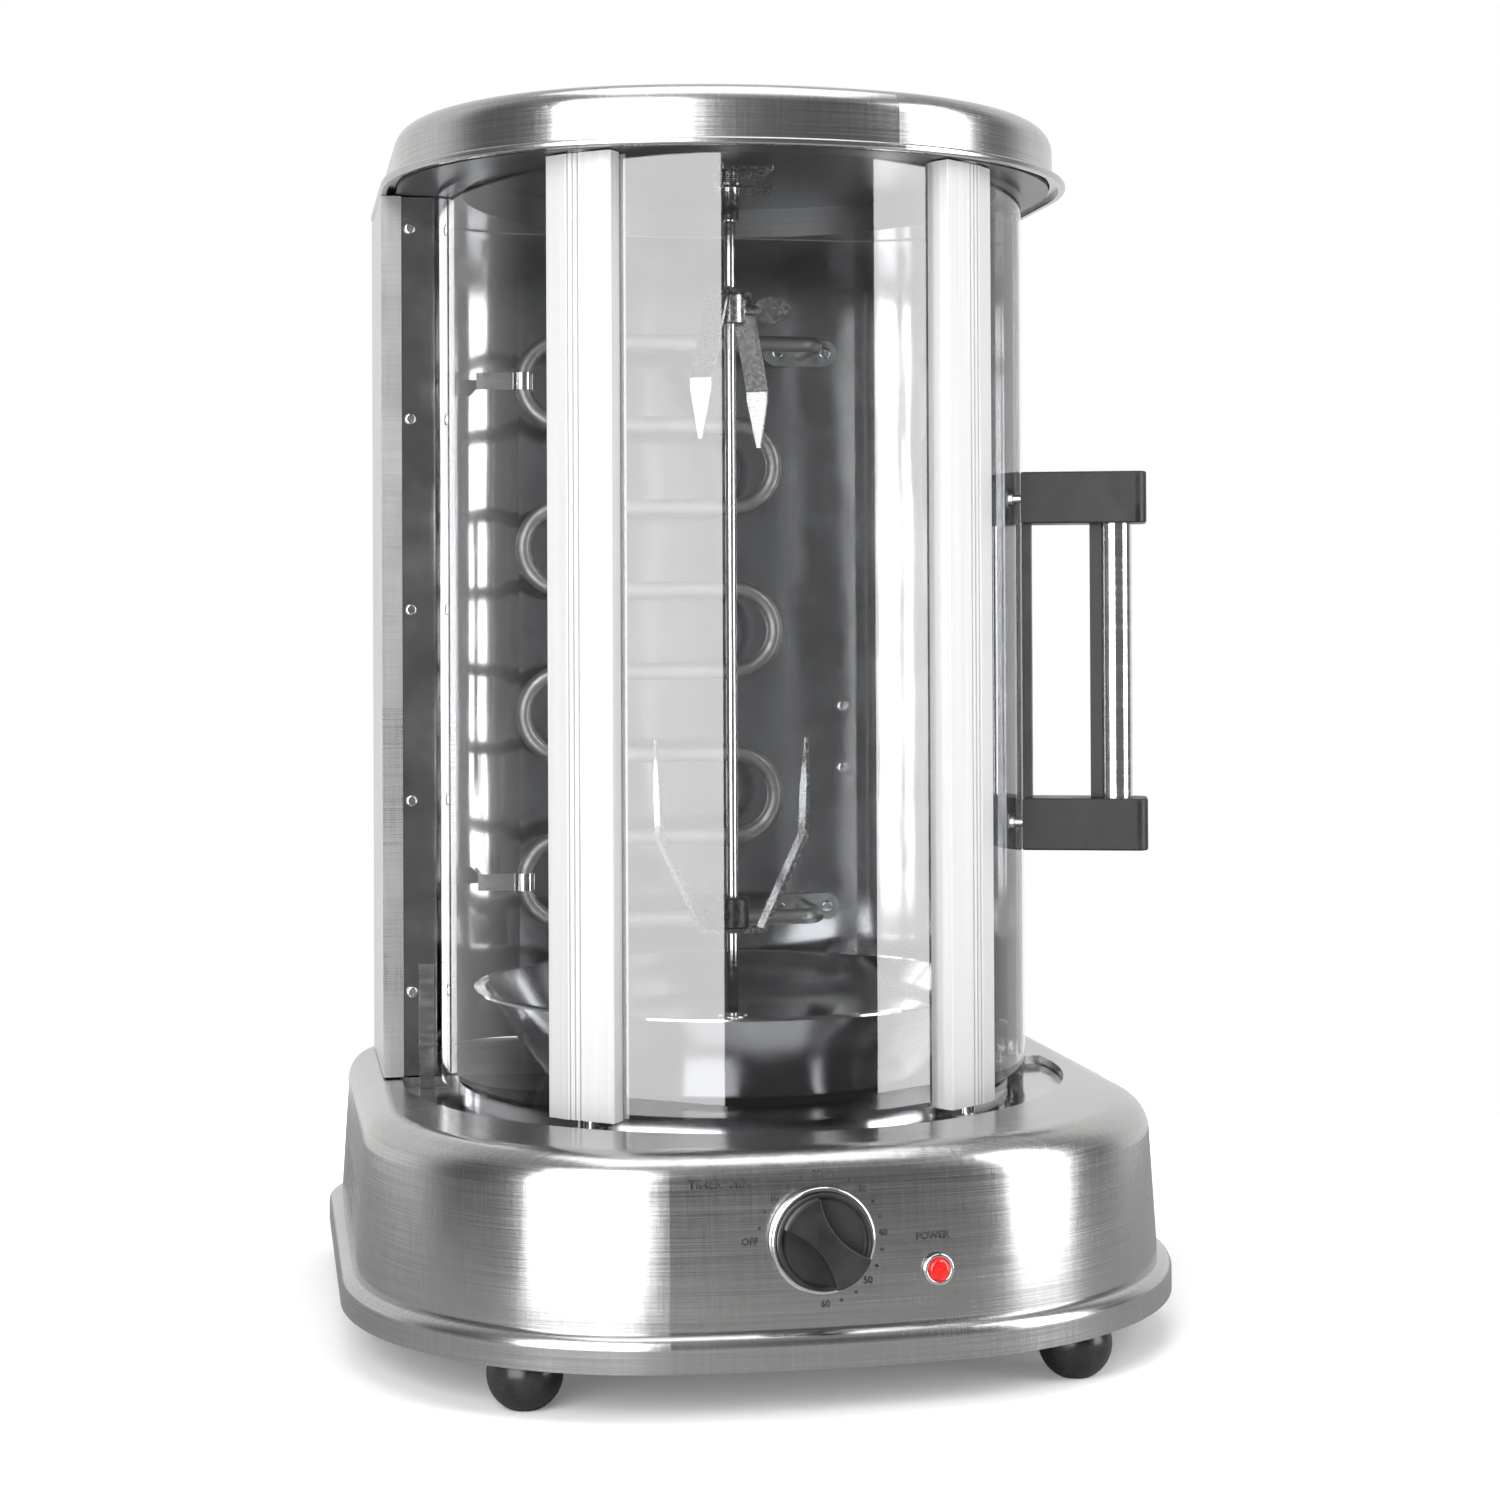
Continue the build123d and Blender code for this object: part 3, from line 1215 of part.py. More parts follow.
with BuildPart() as timer_knob:
    with BuildSketch(knob_plane.offset(1.4)):
        Circle(knob_diameter / 2)
    extrude(amount=knob_skirt - 1.4 + 2)
    outward = Axis((0, 0, 0), knob_plane.z_dir)
    fillet(timer_knob.faces().sort_by(outward)[-1].edges(), 1.4)
    with BuildSketch(knob_plane.offset(knob_skirt)):
        SlotOverall(knob_diameter - 2.4, 10.0, rotation=grip_turn)
    extrude(amount=knob_top - knob_skirt)
    fillet(timer_knob.faces().sort_by(outward)[-1].edges(), 1.6)
    with BuildSketch(knob_plane.offset(1.4)):
        Circle(timer_shaft_diameter / 2 + 0.02)
    extrude(amount=knob_skirt - 2.3, mode=Mode.SUBTRACT)
finish(timer_knob, "timer_knob")

# ---- power lamp ----
with BuildPart() as lamp_bezel:
    with BuildSketch(lamp_plane.offset(0.45)):
        Circle(lamp_diameter / 2)
        Circle(lamp_diameter / 2 - 1.6, mode=Mode.SUBTRACT)
    extrude(amount=1.8)
    fillet(lamp_bezel.faces().sort_by(Axis((0, 0, 0), lamp_plane.z_dir))[-1].edges(), 0.6)
finish(lamp_bezel, "lamp_bezel")
lens_radius = lamp_diameter / 2 - 1.6 - 0.1
with BuildPart() as lamp_lens:
    with BuildSketch(lamp_plane.offset(0.6)):
        Circle(lens_radius)
    extrude(amount=2.6)
    fillet(lamp_lens.faces().sort_by(Axis((0, 0, 0), lamp_plane.z_dir))[-1].edges(), 1.8)
finish(lamp_lens, "lamp_lens")
with BuildPart() as lamp_body:
    with BuildSketch(lamp_plane.offset(0.4)):
        Circle(lamp_body_diameter / 2)
    extrude(amount=-14)
finish(lamp_body, "lamp_body")

# ---- mains inlet gland and thermostat ----
gland_bore = 7.0
gland_seat = 0.7
with BuildPart() as cord_gland:
    with BuildSketch(gland_plane.offset(gland_seat)):
        RegularPolygon(9, 6)
    extrude(amount=3)
    with BuildSketch(gland_plane.offset(gland_seat)):
        Circle(gland_hole / 2 - seat_gap)
    extrude(amount=-12)
    with BuildSketch(gland_plane.offset(gland_seat + 3)):
        Circle(7)
    extrude(amount=2.5)
    with BuildSketch(gland_plane.offset(10)):
        Circle(gland_bore / 2)
    extrude(amount=-30, mode=Mode.SUBTRACT)
finish(cord_gland, "cord_gland")
with BuildPart() as thermostat:
    with BuildSketch(thermostat_plane.offset(-seat_gap)):
        SlotOverall(42, 12, rotation=90)
        with Locations((0, thermostat_spread), (0, -thermostat_spread)):
            Circle(thermostat_screw / 2 + hole_clearance, mode=Mode.SUBTRACT)
    extrude(amount=-1)
    with BuildSketch(thermostat_plane.offset(-1.2)):
        Circle(8)
    extrude(amount=-thermostat_depth)
finish(thermostat, "thermostat")
screw_group("thermostat_screws", thermostat_screw_planes, 6.0, thermostat_screw, 4.0)
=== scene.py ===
import json
from math import cos, pi, radians, sin

import bpy
from mathutils import Matrix, Vector
from mathutils.bvhtree import BVHTree


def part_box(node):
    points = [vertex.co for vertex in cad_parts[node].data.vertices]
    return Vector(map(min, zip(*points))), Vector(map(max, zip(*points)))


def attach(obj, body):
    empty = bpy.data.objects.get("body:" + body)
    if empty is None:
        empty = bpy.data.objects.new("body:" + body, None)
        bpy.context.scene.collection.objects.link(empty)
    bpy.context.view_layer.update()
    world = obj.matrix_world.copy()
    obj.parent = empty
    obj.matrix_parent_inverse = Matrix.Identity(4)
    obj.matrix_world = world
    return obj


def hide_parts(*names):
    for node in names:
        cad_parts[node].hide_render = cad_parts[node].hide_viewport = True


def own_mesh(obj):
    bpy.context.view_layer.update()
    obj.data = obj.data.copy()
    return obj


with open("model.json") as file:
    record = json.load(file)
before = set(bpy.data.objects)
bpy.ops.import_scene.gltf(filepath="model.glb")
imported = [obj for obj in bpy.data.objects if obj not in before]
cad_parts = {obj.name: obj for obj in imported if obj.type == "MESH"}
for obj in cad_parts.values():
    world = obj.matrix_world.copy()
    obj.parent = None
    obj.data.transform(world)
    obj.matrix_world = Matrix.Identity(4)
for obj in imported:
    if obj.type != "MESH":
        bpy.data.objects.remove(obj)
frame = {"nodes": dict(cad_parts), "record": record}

bl_info = {
    "name": "Upright rotisserie oven",
    "version": (1, 0, 0),
    "blender": (4, 5, 0),
    "location": "View3D > Sidebar > Rotisserie",
    "description": "Finishes, dial print and studio for the upright rotisserie oven",
    "category": "Object",
}

MM = 0.001
STEEP = 0.55            # upward share of a normal below which a face counts as upright
FLAT = 0.8              # and above which it counts as level
CROSS_GRAIN = 0.30      # share of the upright cross grain in the brushing
CLOUDS_IN_GLOSS = 0.45  # share of the wide clouds in the steel's gloss
NEARLY_UP = 0.9         # upward share of the normal of a top face
SQUARE_END = 0.86       # where the grip's ends start to round, as a share of its reach
WIRE_SIDES = 12         # corners of the spring's wire
COIL_STEPS = 28         # steps in one turn of the spring
SAME_PLACE = 0.001 * MM      # points of the spring closer than this are one
SAME_PLACE_INK = 0.01 * MM   # and of the print
THIRDS = 3              # parts that the two dots make of the space between numbers
OFF_GAP = 1.2           # ring to the middle of the word OFF, in heights of a digit
BACK_RAMP = (0.0, 0.5)       # share of "straight back" over which the room gets light
CEILING_RAMP = (0.55, 0.95)  # share of "straight up" over which it becomes the ceiling
SENSOR = 36.0           # width of the camera's sensor in millimetres


def colour(name, description, value):
    """A colour that the user may change."""
    return bpy.props.FloatVectorProperty(
        name=name, description=description, subtype="COLOR", size=3, min=0, max=1, default=value
    )


def length(name, description, value):
    """A size in metres that the user may change."""
    return bpy.props.FloatProperty(
        name=name, description=description, unit="LENGTH", min=0, default=value, precision=5
    )


def angle(name, description, degrees):
    """An angle that the user may change."""
    return bpy.props.FloatProperty(
        name=name, description=description, unit="ROTATION", default=radians(degrees)
    )


def share(name, description, value):
    """A plain number from 0 to 1 that the user may change."""
    return bpy.props.FloatProperty(
        name=name, description=description, subtype="FACTOR", min=0, max=1, default=value
    )


def amount(name, description, value):
    """A plain number that the user may change."""
    return bpy.props.FloatProperty(name=name, description=description, min=0, default=value)


class SteelSettings(bpy.types.PropertyGroup):
    """Colours and polish of the bare metal."""

    shell: colour("Shell", "Brushed steel of the lid and the base", (0.56, 0.555, 0.55))
    shell_dark: colour(
        "Shell, in the grain", "The darker lines of the brushing", (0.40, 0.395, 0.39)
    )
    shell_roughness: share("Shell roughness", "Mean roughness of the brushed steel", 0.22)
    shell_stretch: share("Shell stretch", "How far its reflections are drawn out", 0.35)
    sheet: colour("Sheet", "Plain sheet steel of the rear housing", (0.66, 0.66, 0.665))
    sheet_roughness: share("Sheet roughness", "Mean roughness of the sheet", 0.3)
    polished: colour(
        "Polished", "Polished steel of the reflector, floor and bowl", (0.50, 0.50, 0.515)
    )
    polished_roughness: share("Polished roughness", "Mean roughness of the polished steel", 0.12)
    chrome: colour("Chrome", "Plated screws, pins, grip tube and spit", (0.80, 0.80, 0.81))
    galvanised: colour("Galvanised", "Zinc plated steel underneath and inside", (0.52, 0.53, 0.54))
    # Painted shade: the drum's ceiling is the same sheet steel as the rear housing, darkened to
    # stand in for the shade inside the drum.
    ceiling: colour("Ceiling", "Dull sheet of the drum's ceiling", (0.20, 0.20, 0.205))
    cast: colour("Cast steel", "Forks, upper thumbscrew and bearing bracket", (0.58, 0.58, 0.58))
    bronze: colour("Bush", "Bushes of the bars and the drive", (0.50, 0.45, 0.38))
    dark: colour("Dark hub", "Blackened hub of the lower fork", (0.06, 0.06, 0.062))
    heater: colour("Heater", "Sheath of the heater tube", (0.34, 0.34, 0.335))
    heater_dark: colour("Heater, scaled", "Darker patches of the sheath", (0.17, 0.17, 0.165))
    bar: colour("Bars", "Satin anodised aluminium bars", (0.62, 0.62, 0.625))


class GlassSettings(bpy.types.PropertyGroup):
    """The curved panes."""

    tint: colour("Tint", "What a clean patch lets through", (0.955, 0.96, 0.96))
    smudge: colour("Smudge", "What a smudged patch lets through", (0.915, 0.92, 0.92))
    gloss: colour("Gloss", "Colour of the reflections", (1.0, 1.0, 1.0))
    index: amount("Index", "Index of refraction that sets how much the panes reflect", 1.85)
    roughness: share("Roughness", "Roughness of the reflections", 0.015)


class PlasticSettings(bpy.types.PropertyGroup):
    """Handle blocks, knob, feet and lamp."""

    black: colour("Black plastic", "Handle blocks, core and knob", (0.012, 0.012, 0.013))
    black_worn: colour(
        "Black plastic, high", "The lighter specks of its grain", (0.024, 0.024, 0.025)
    )
    black_roughness: share("Plastic roughness", "Mean roughness of the plastic", 0.38)
    rubber: colour("Rubber", "Ball feet", (0.010, 0.010, 0.010))
    rubber_roughness: share("Rubber roughness", "Mean roughness of the feet", 0.24)
    lens: colour("Lens", "Red lens of the power lamp", (0.42, 0.003, 0.002))
    lens_glow: colour("Lens glow", "Light of the lamp behind the lens", (1.0, 0.02, 0.012))
    lens_strength: amount("Lens strength", "Strength of that light", 1.1)


class DialSettings(bpy.types.PropertyGroup):
    """Print round the timer knob."""

    ink: colour("Ink", "Colour of the print", (0.012, 0.012, 0.013))
    ink_worn: colour("Ink, thin", "Where the ink is thin", (0.03, 0.03, 0.03))
    middle_height: length("Knob height", "Height of the middle of the knob", 66.5 * MM)
    ring: length("Ring radius", "Middle of the knob to the marks", 24.6 * MM)
    turn: angle("Turn", "How far the marks are turned about the knob", 3.0)
    digit_height: length("Digit height", "Height of the numbers", 2.7 * MM)
    dot_radius: length("Dot radius", "Radius of the dots", 0.62 * MM)
    title_height: length("Title height", "Height of the timer's title", 3.5 * MM)
    title_left: length("Title place", "Middle of the timer's title, left of the knob", 38.5 * MM)
    title_up: length("Title up", "Table to the middle of that title", 88.5 * MM)
    label_height: length("Lamp label height", "Height of the lamp's label", 2.9 * MM)
    label_right: length("Label place", "Middle of the lamp's label, right of the knob", 44.5 * MM)
    label_up: length("Label up", "Table to the middle of that label", 65.5 * MM)
    weight: share("Weight", "How much bolder the strokes are, as a share of a letter", 0.022)
    film: length("Film", "How far the print stands off the wall", 0.18 * MM)


class KnobSettings(bpy.types.PropertyGroup):
    """Timer knob with a hollow-sided grip."""

    radius: length("Knob radius", "Radius of the skirt", 18.5 * MM)
    foot: length("Foot", "Wall to the underside of the skirt", 1.4 * MM)
    skirt: length("Skirt", "Wall to the top of the skirt", 8.6 * MM)
    dish: length("Dish", "Depth of the hollow in the skirt's top", 1.6 * MM)
    rim: length("Rim", "Width of the rim round the hollow", 1.3 * MM)
    top: length("Top", "Wall to the top of the grip", 14.9 * MM)
    waist: length("Waist", "Half the width of the grip at its middle", 4.6 * MM)
    flare: length("Flare", "How much each side spreads towards the ends", 4.4 * MM)
    lean: angle("Lean", "How far the front wall leans back", 3.5)
    turn: angle("Turn", "Direction of the grip", -50)
    shaft_sink: length("Shaft sink", "Wall to the middle of the shaft", 4.0 * MM)
    skirt_edge: length("Skirt edge", "Rounding of the skirt's edges", 0.55 * MM)
    grip_edge: length("Grip edge", "Rounding of the grip's edges", 1.1 * MM)
    grip_inset: length("Grip inset", "Edge of the skirt to the ends of the grip", 0.9 * MM)


class SpringSettings(bpy.types.PropertyGroup):
    """Spring of the top bearing."""

    wire: length("Wire", "Diameter of the spring's wire", 0.8 * MM)
    coils: bpy.props.IntProperty(name="Coils", description="Turns of the spring", default=5, min=2)
    play: length("Play", "How far the bearing's plunger lifts", 4.5 * MM)


class StageSettings(bpy.types.PropertyGroup):
    """Floor, softboxes and camera."""

    floor: colour("Floor", "Colour of the floor", (0.93, 0.93, 0.93))
    floor_radius: length("Floor radius", "Radius of the floor", 0.62)
    floor_glow: share("Floor glow", "Light that the floor adds of its own near the object", 0.12)
    glow_start: length("Glow start", "Axis to where the floor's own light starts to grow", 0.26)
    glow_end: length("Glow end", "Axis to where the floor is as white as the room", 0.56)
    floor_in_steel: share("Floor in steel", "How bright the floor is in reflections", 0.38)
    ahead: share("Ahead", "Brightness of the room in front of the object", 0.16)
    behind: share("Behind", "Brightness of the room behind the object", 0.92)
    above: share("Above", "Brightness of the ceiling", 0.45)
    left_angle: angle("Left softbox", "Where it stands, from the front", -33.7)
    left_width: length("Left width", "Width of the left softbox", 1.12)
    left_radiance: amount("Left brightness", "Radiance of the left softbox", 6.0)
    right_angle: angle("Right softbox", "Where it stands, from the front", 56.3)
    right_width: length("Right width", "Width of the right softbox", 0.66)
    right_radiance: amount("Right brightness", "Radiance of the right softbox", 6.0)
    box_height: length("Softbox height", "Height of both softboxes", 2.6)
    box_middle: length("Softbox middle", "Height of their middles", 0.50)
    box_distance: length("Softbox distance", "Axis of the object to a softbox", 1.5)
    top_radiance: amount("Overhead brightness", "Radiance of the overhead softbox", 2.2)
    top_size: length("Overhead size", "Side of the overhead softbox", 1.3)
    top_height: length("Overhead height", "Height of the overhead softbox", 1.95)
    top_ahead: length("Overhead place", "Axis of the object to its middle, forwards", 0.1)
    camera_place: bpy.props.FloatVectorProperty(
        name="Camera place", description="Where the camera stands", subtype="TRANSLATION",
        unit="LENGTH", size=3, default=(-0.2139, -1.1873, 0.3027),
    )
    camera_heading: angle("Heading", "Camera turned to the right of straight back", 10.62)
    camera_tilt: angle("Tilt", "Camera tilted up", 0.507)
    camera_roll: angle("Roll", "Camera rolled about its axis", -0.2545)
    camera_lens: amount("Lens", "Focal length for a sensor 36 mm wide", 63.64)
    camera_shift: bpy.props.FloatProperty(
        name="Shift", description="Lens shift up, as a share of the frame", default=-0.0993
    )


class Finish:
    """One procedural material, built up step by step on a Principled shader."""

    def __init__(self, name, base, metallic, roughness):
        self.material = bpy.data.materials.new(name)
        self.material.use_nodes = True
        self.tree = self.material.node_tree
        self.shader = self.tree.nodes["Principled BSDF"]
        self.set("Base Color", (*base, 1))
        self.set("Metallic", metallic)
        self.set("Roughness", roughness)
        self.coords = self.node("ShaderNodeTexCoord")

    def node(self, kind, **values):
        """A new node, with its plain settings."""
        made = self.tree.nodes.new(kind)
        for key, value in values.items():
            setattr(made, key, value)
        return made

    def set(self, socket, value):
        """A value of the shader that is the same all over."""
        self.shader.inputs[socket].default_value = value

    def link(self, source, socket):
        """Joins an output to an input."""
        self.tree.links.new(source, socket)

    def mapped(self, stretch, shift):
        """Object coordinates, drawn out by a different amount along each axis."""
        mapping = self.node("ShaderNodeMapping")
        mapping.inputs["Scale"].default_value = stretch
        mapping.inputs["Location"].default_value = (shift, shift, shift)
        self.link(self.coords.outputs["Object"], mapping.inputs["Vector"])
        return mapping.outputs["Vector"]

    def noise(self, stretch, detail=3.0, shift=0.0):
        """Cloudy noise whose lumps are 1 / stretch metres long on each axis."""
        made = self.node("ShaderNodeTexNoise")
        made.inputs["Scale"].default_value = 1.0
        made.inputs["Detail"].default_value = detail
        made.inputs["Roughness"].default_value = 0.6
        self.link(self.mapped(stretch, shift), made.inputs["Vector"])
        return made.outputs["Fac"]

    def cells(self, stretch):
        """Distance to the nearest of scattered points, for facets and pits."""
        made = self.node("ShaderNodeTexVoronoi")
        made.inputs["Scale"].default_value = 1.0
        self.link(self.mapped(stretch, 0.0), made.inputs["Vector"])
        return made.outputs["Distance"]

    def spread(self, fac, low, high, start=0.35, end=0.65):
        """Maps start to end of a factor onto low to high."""
        made = self.node("ShaderNodeMapRange")
        sockets = ("From Min", "From Max", "To Min", "To Max")
        for socket, value in zip(sockets, (start, end, low, high)):
            made.inputs[socket].default_value = value
        self.link(fac, made.inputs["Value"])
        return made.outputs["Result"]

    def choose(self, fac, first, second):
        """Goes from the first factor to the second."""
        made = self.node("ShaderNodeMix", data_type="FLOAT")
        for source, socket in ((fac, 0), (first, 2), (second, 3)):
            self.link(source, made.inputs[socket])
        return made.outputs[0]

    def blend(self, first, second, amount_of_second):
        """A fixed mix of two factors."""
        made = self.node("ShaderNodeMix", data_type="FLOAT")
        made.inputs[0].default_value = amount_of_second
        for source, socket in ((first, 2), (second, 3)):
            self.link(source, made.inputs[socket])
        return made.outputs[0]

    def level(self):
        """1 on level faces and 0 on upright ones."""
        parts = self.node("ShaderNodeSeparateXYZ")
        self.link(self.coords.outputs["Normal"], parts.inputs["Vector"])
        up = self.node("ShaderNodeMath", operation="ABSOLUTE")
        self.link(parts.outputs["Z"], up.inputs[0])
        return self.spread(up.outputs[0], 0.0, 1.0, STEEP, FLAT)

    def paint(self, fac, dark, light, socket="Base Color"):
        """Colour from dark to light by a factor."""
        made = self.node("ShaderNodeMix", data_type="RGBA")
        made.inputs[6].default_value = (*dark, 1)
        made.inputs[7].default_value = (*light, 1)
        self.link(fac, made.inputs[0])
        self.link(made.outputs[2], self.shader.inputs[socket])

    def gloss(self, fac, low, high):
        """Roughness from low to high by a factor."""
        self.link(self.spread(fac, low, high), self.shader.inputs["Roughness"])

    def relief(self, *layers):
        """Bumps, each a factor with its height in metres."""
        normal = None
        for fac, height in layers:
            made = self.node("ShaderNodeBump")
            made.inputs["Strength"].default_value = 1.0
            made.inputs["Distance"].default_value = height
            self.link(fac, made.inputs["Height"])
            if normal:
                self.link(normal, made.inputs["Normal"])
            normal = made.outputs["Normal"]
        self.link(normal, self.shader.inputs["Normal"])

    def brush(self, stretch_amount, full_turns=0.25):
        """Draws reflections out across lines that run round the upright axis."""
        around = self.node("ShaderNodeTangent", direction_type="RADIAL", axis="Z")
        self.set("Anisotropic", stretch_amount)
        self.set("Anisotropic Rotation", full_turns)
        self.link(around.outputs["Tangent"], self.shader.inputs["Tangent"])


def shade_of(colour_value, factor):
    """A darker or lighter shade of a colour."""
    return tuple(min(1.0, channel * factor) for channel in colour_value)


def dress(slot_name, material, only=None):
    """Gives every CAD node of one material slot, or only one of them, its finish."""
    subparts = frame["record"]["subparts"]
    names = [row["node"] for row in subparts if row["material_slot"] == slot_name]
    if not names or (only and only not in names):
        raise RuntimeError(f"no node to finish as {slot_name}")
    for name in [only] if only else names:
        piece = frame["nodes"][name]
        if not piece.material_slots:
            piece.data.materials.append(material)
        for place in piece.material_slots:
            place.material = material


def deselect():
    """Leaves nothing selected, in object mode."""
    if bpy.context.mode != "OBJECT":
        bpy.ops.object.mode_set(mode="OBJECT")
    bpy.ops.object.select_all(action="DESELECT")


def brushed_finish(name, light, dark, roughness, stretch):
    """Steel brushed along the wall, with a faint upright cross grain."""
    finish = Finish(name, light, 1.0, roughness)
    along = finish.noise((14, 14, 2600), 4.0)
    flat = finish.noise((16, 2300, 40), 4.0, 3.0)
    across = finish.noise((1700, 500, 30), 3.0, 7.0)
    clouds = finish.noise((9, 9, 14), 3.0, 11.0)
    lines = finish.choose(finish.level(), along, flat)
    grain = finish.blend(lines, across, CROSS_GRAIN)
    finish.paint(finish.spread(grain, 0.0, 1.0, 0.36, 0.64), dark, light)
    finish.gloss(finish.blend(grain, clouds, CLOUDS_IN_GLOSS), roughness - 0.05, roughness + 0.07)
    finish.relief((grain, 0.012 * MM), (clouds, 0.25 * MM))
    finish.brush(stretch)
    return finish.material


class ROTISSERIE_OT_shell(bpy.types.Operator):
    """Brushed steel of the lid, the base and the rear housing"""

    bl_idname = "rotisserie.shell"
    bl_label = "Finish the shell"

    def execute(self, context):
        steel = context.scene.rotisserie_steel
        shell = brushed_finish(
            "Brushed_shell", steel.shell, steel.shell_dark, steel.shell_roughness,
            steel.shell_stretch,
        )
        dress("brushed_shell", shell)
        sheet = brushed_finish(
            "Sheet_steel", steel.sheet, shade_of(steel.sheet, 0.8), steel.sheet_roughness, 0.4
        )
        dress("sheet", sheet)
        # A darker copy of the sheet finish on the ceiling plate, as painted shade inside the drum.
        ceiling = brushed_finish(
            "Ceiling_sheet_painted_shade", steel.ceiling, shade_of(steel.ceiling, 0.8), 0.35, 0.0
        )
        dress("sheet", ceiling, "ceiling_plate")
        return {"FINISHED"}


class ROTISSERIE_OT_polished(bpy.types.Operator):
    """Polished steel of the reflector, the floor and the drip bowl"""

    bl_idname = "rotisserie.polished"
    bl_label = "Finish the polished steel"

    def execute(self, context):
        steel = context.scene.rotisserie_steel
        finish = Finish("Polished_steel", steel.polished, 1.0, steel.polished_roughness)
        waves = finish.noise((11, 11, 7), 1.5)
        lines = finish.noise((900, 900, 12), 3.0, 5.0)
        haze = finish.noise((22, 22, 26), 4.0, 9.0)
        finish.paint(finish.spread(haze, 0, 1), shade_of(steel.polished, 0.86), steel.polished)
        finish.gloss(haze, steel.polished_roughness - 0.03, steel.polished_roughness + 0.05)
        finish.relief((waves, 2.2 * MM), (lines, 0.004 * MM))
        dress("polished", finish.material)
        return {"FINISHED"}


class ROTISSERIE_OT_fittings(bpy.types.Operator):
    """Chromed, galvanised, cast and sintered fittings"""

    bl_idname = "rotisserie.fittings"
    bl_label = "Finish the fittings"

    def execute(self, context):
        steel = context.scene.rotisserie_steel
        chrome = Finish("Chrome", steel.chrome, 1.0, 0.08)
        film = chrome.noise((60, 60, 400), 3.0)
        chrome.paint(chrome.spread(film, 0, 1), shade_of(steel.chrome, 0.88), steel.chrome)
        chrome.gloss(film, 0.06, 0.16)
        chrome.relief((film, 0.01 * MM))
        dress("chrome", chrome.material)

        zinc = Finish("Galvanised_steel", steel.galvanised, 1.0, 0.42)
        spangle = zinc.cells((160, 160, 160))
        zinc.paint(
            zinc.spread(spangle, 0, 1, 0.1, 0.7), shade_of(steel.galvanised, 0.75), steel.galvanised
        )
        zinc.gloss(spangle, 0.34, 0.52)
        zinc.relief((zinc.noise((300, 300, 300), 4.0), 0.03 * MM))
        dress("galvanised", zinc.material)

        cast = Finish("Cast_steel", steel.cast, 1.0, 0.22)
        skin = cast.noise((500, 500, 500), 3.0)
        cast.paint(cast.spread(skin, 0, 1), shade_of(steel.cast, 0.7), steel.cast)
        cast.gloss(skin, 0.16, 0.32)
        cast.relief((skin, 0.008 * MM))
        dress("cast_steel", cast.material)

        spring = Finish("Spring_wire", shade_of(steel.cast, 0.8), 1.0, 0.25)
        drawn = spring.noise((500, 500, 500), 3.0)
        spring.paint(
            spring.spread(drawn, 0, 1), shade_of(steel.cast, 0.5), shade_of(steel.cast, 0.9)
        )
        spring.gloss(drawn, 0.2, 0.36)
        spring.relief((drawn, 0.01 * MM))
        dress("spring", spring.material)

        bush = Finish("Sintered_bush", steel.bronze, 0.9, 0.45)
        pores = bush.cells((1400, 1400, 1400))
        bush.paint(bush.spread(pores, 0, 1, 0.1, 0.5), shade_of(steel.bronze, 0.5), steel.bronze)
        bush.gloss(pores, 0.55, 0.4)
        bush.relief((pores, 0.02 * MM))
        dress("bush", bush.material)

        dark = Finish("Blackened_hub", steel.dark, 0.8, 0.4)
        oxide = dark.noise((420, 420, 420), 5.0)
        dark.paint(dark.spread(oxide, 0, 1), shade_of(steel.dark, 0.5), shade_of(steel.dark, 1.4))
        dark.gloss(oxide, 0.3, 0.5)
        dark.relief((oxide, 0.05 * MM))
        dress("dark_hub", dark.material)
        return {"FINISHED"}


class ROTISSERIE_OT_heater(bpy.types.Operator):
    """Matt sheath of the heater tube, scaled by use"""

    bl_idname = "rotisserie.heater"
    bl_label = "Finish the heater"

    def execute(self, context):
        steel = context.scene.rotisserie_steel
        finish = Finish("Heater_sheath", steel.heater, 0.75, 0.42)
        patches = finish.noise((40, 40, 40), 4.0)
        drawn = finish.noise((30, 700, 700), 3.0, 4.0)
        finish.paint(finish.spread(patches, 0, 1, 0.3, 0.6), steel.heater_dark, steel.heater)
        finish.gloss(patches, 0.5, 0.34)
        finish.relief((drawn, 0.03 * MM), (patches, 0.08 * MM))
        dress("heater", finish.material)
        return {"FINISHED"}


class ROTISSERIE_OT_bars(bpy.types.Operator):
    """Satin anodised aluminium of the two bars"""

    bl_idname = "rotisserie.bars"
    bl_label = "Finish the bars"

    def execute(self, context):
        steel = context.scene.rotisserie_steel
        finish = Finish("Anodised_bar", steel.bar, 0.35, 0.4)
        drawn = finish.noise((1500, 1500, 5), 3.0)
        satin = finish.noise((2600, 2600, 2600), 2.0, 6.0)
        finish.paint(finish.spread(drawn, 0, 1), shade_of(steel.bar, 0.93), steel.bar)
        finish.gloss(drawn, 0.34, 0.46)
        finish.relief((drawn, 0.008 * MM), (satin, 0.006 * MM))
        dress("bar_alu", finish.material)
        return {"FINISHED"}


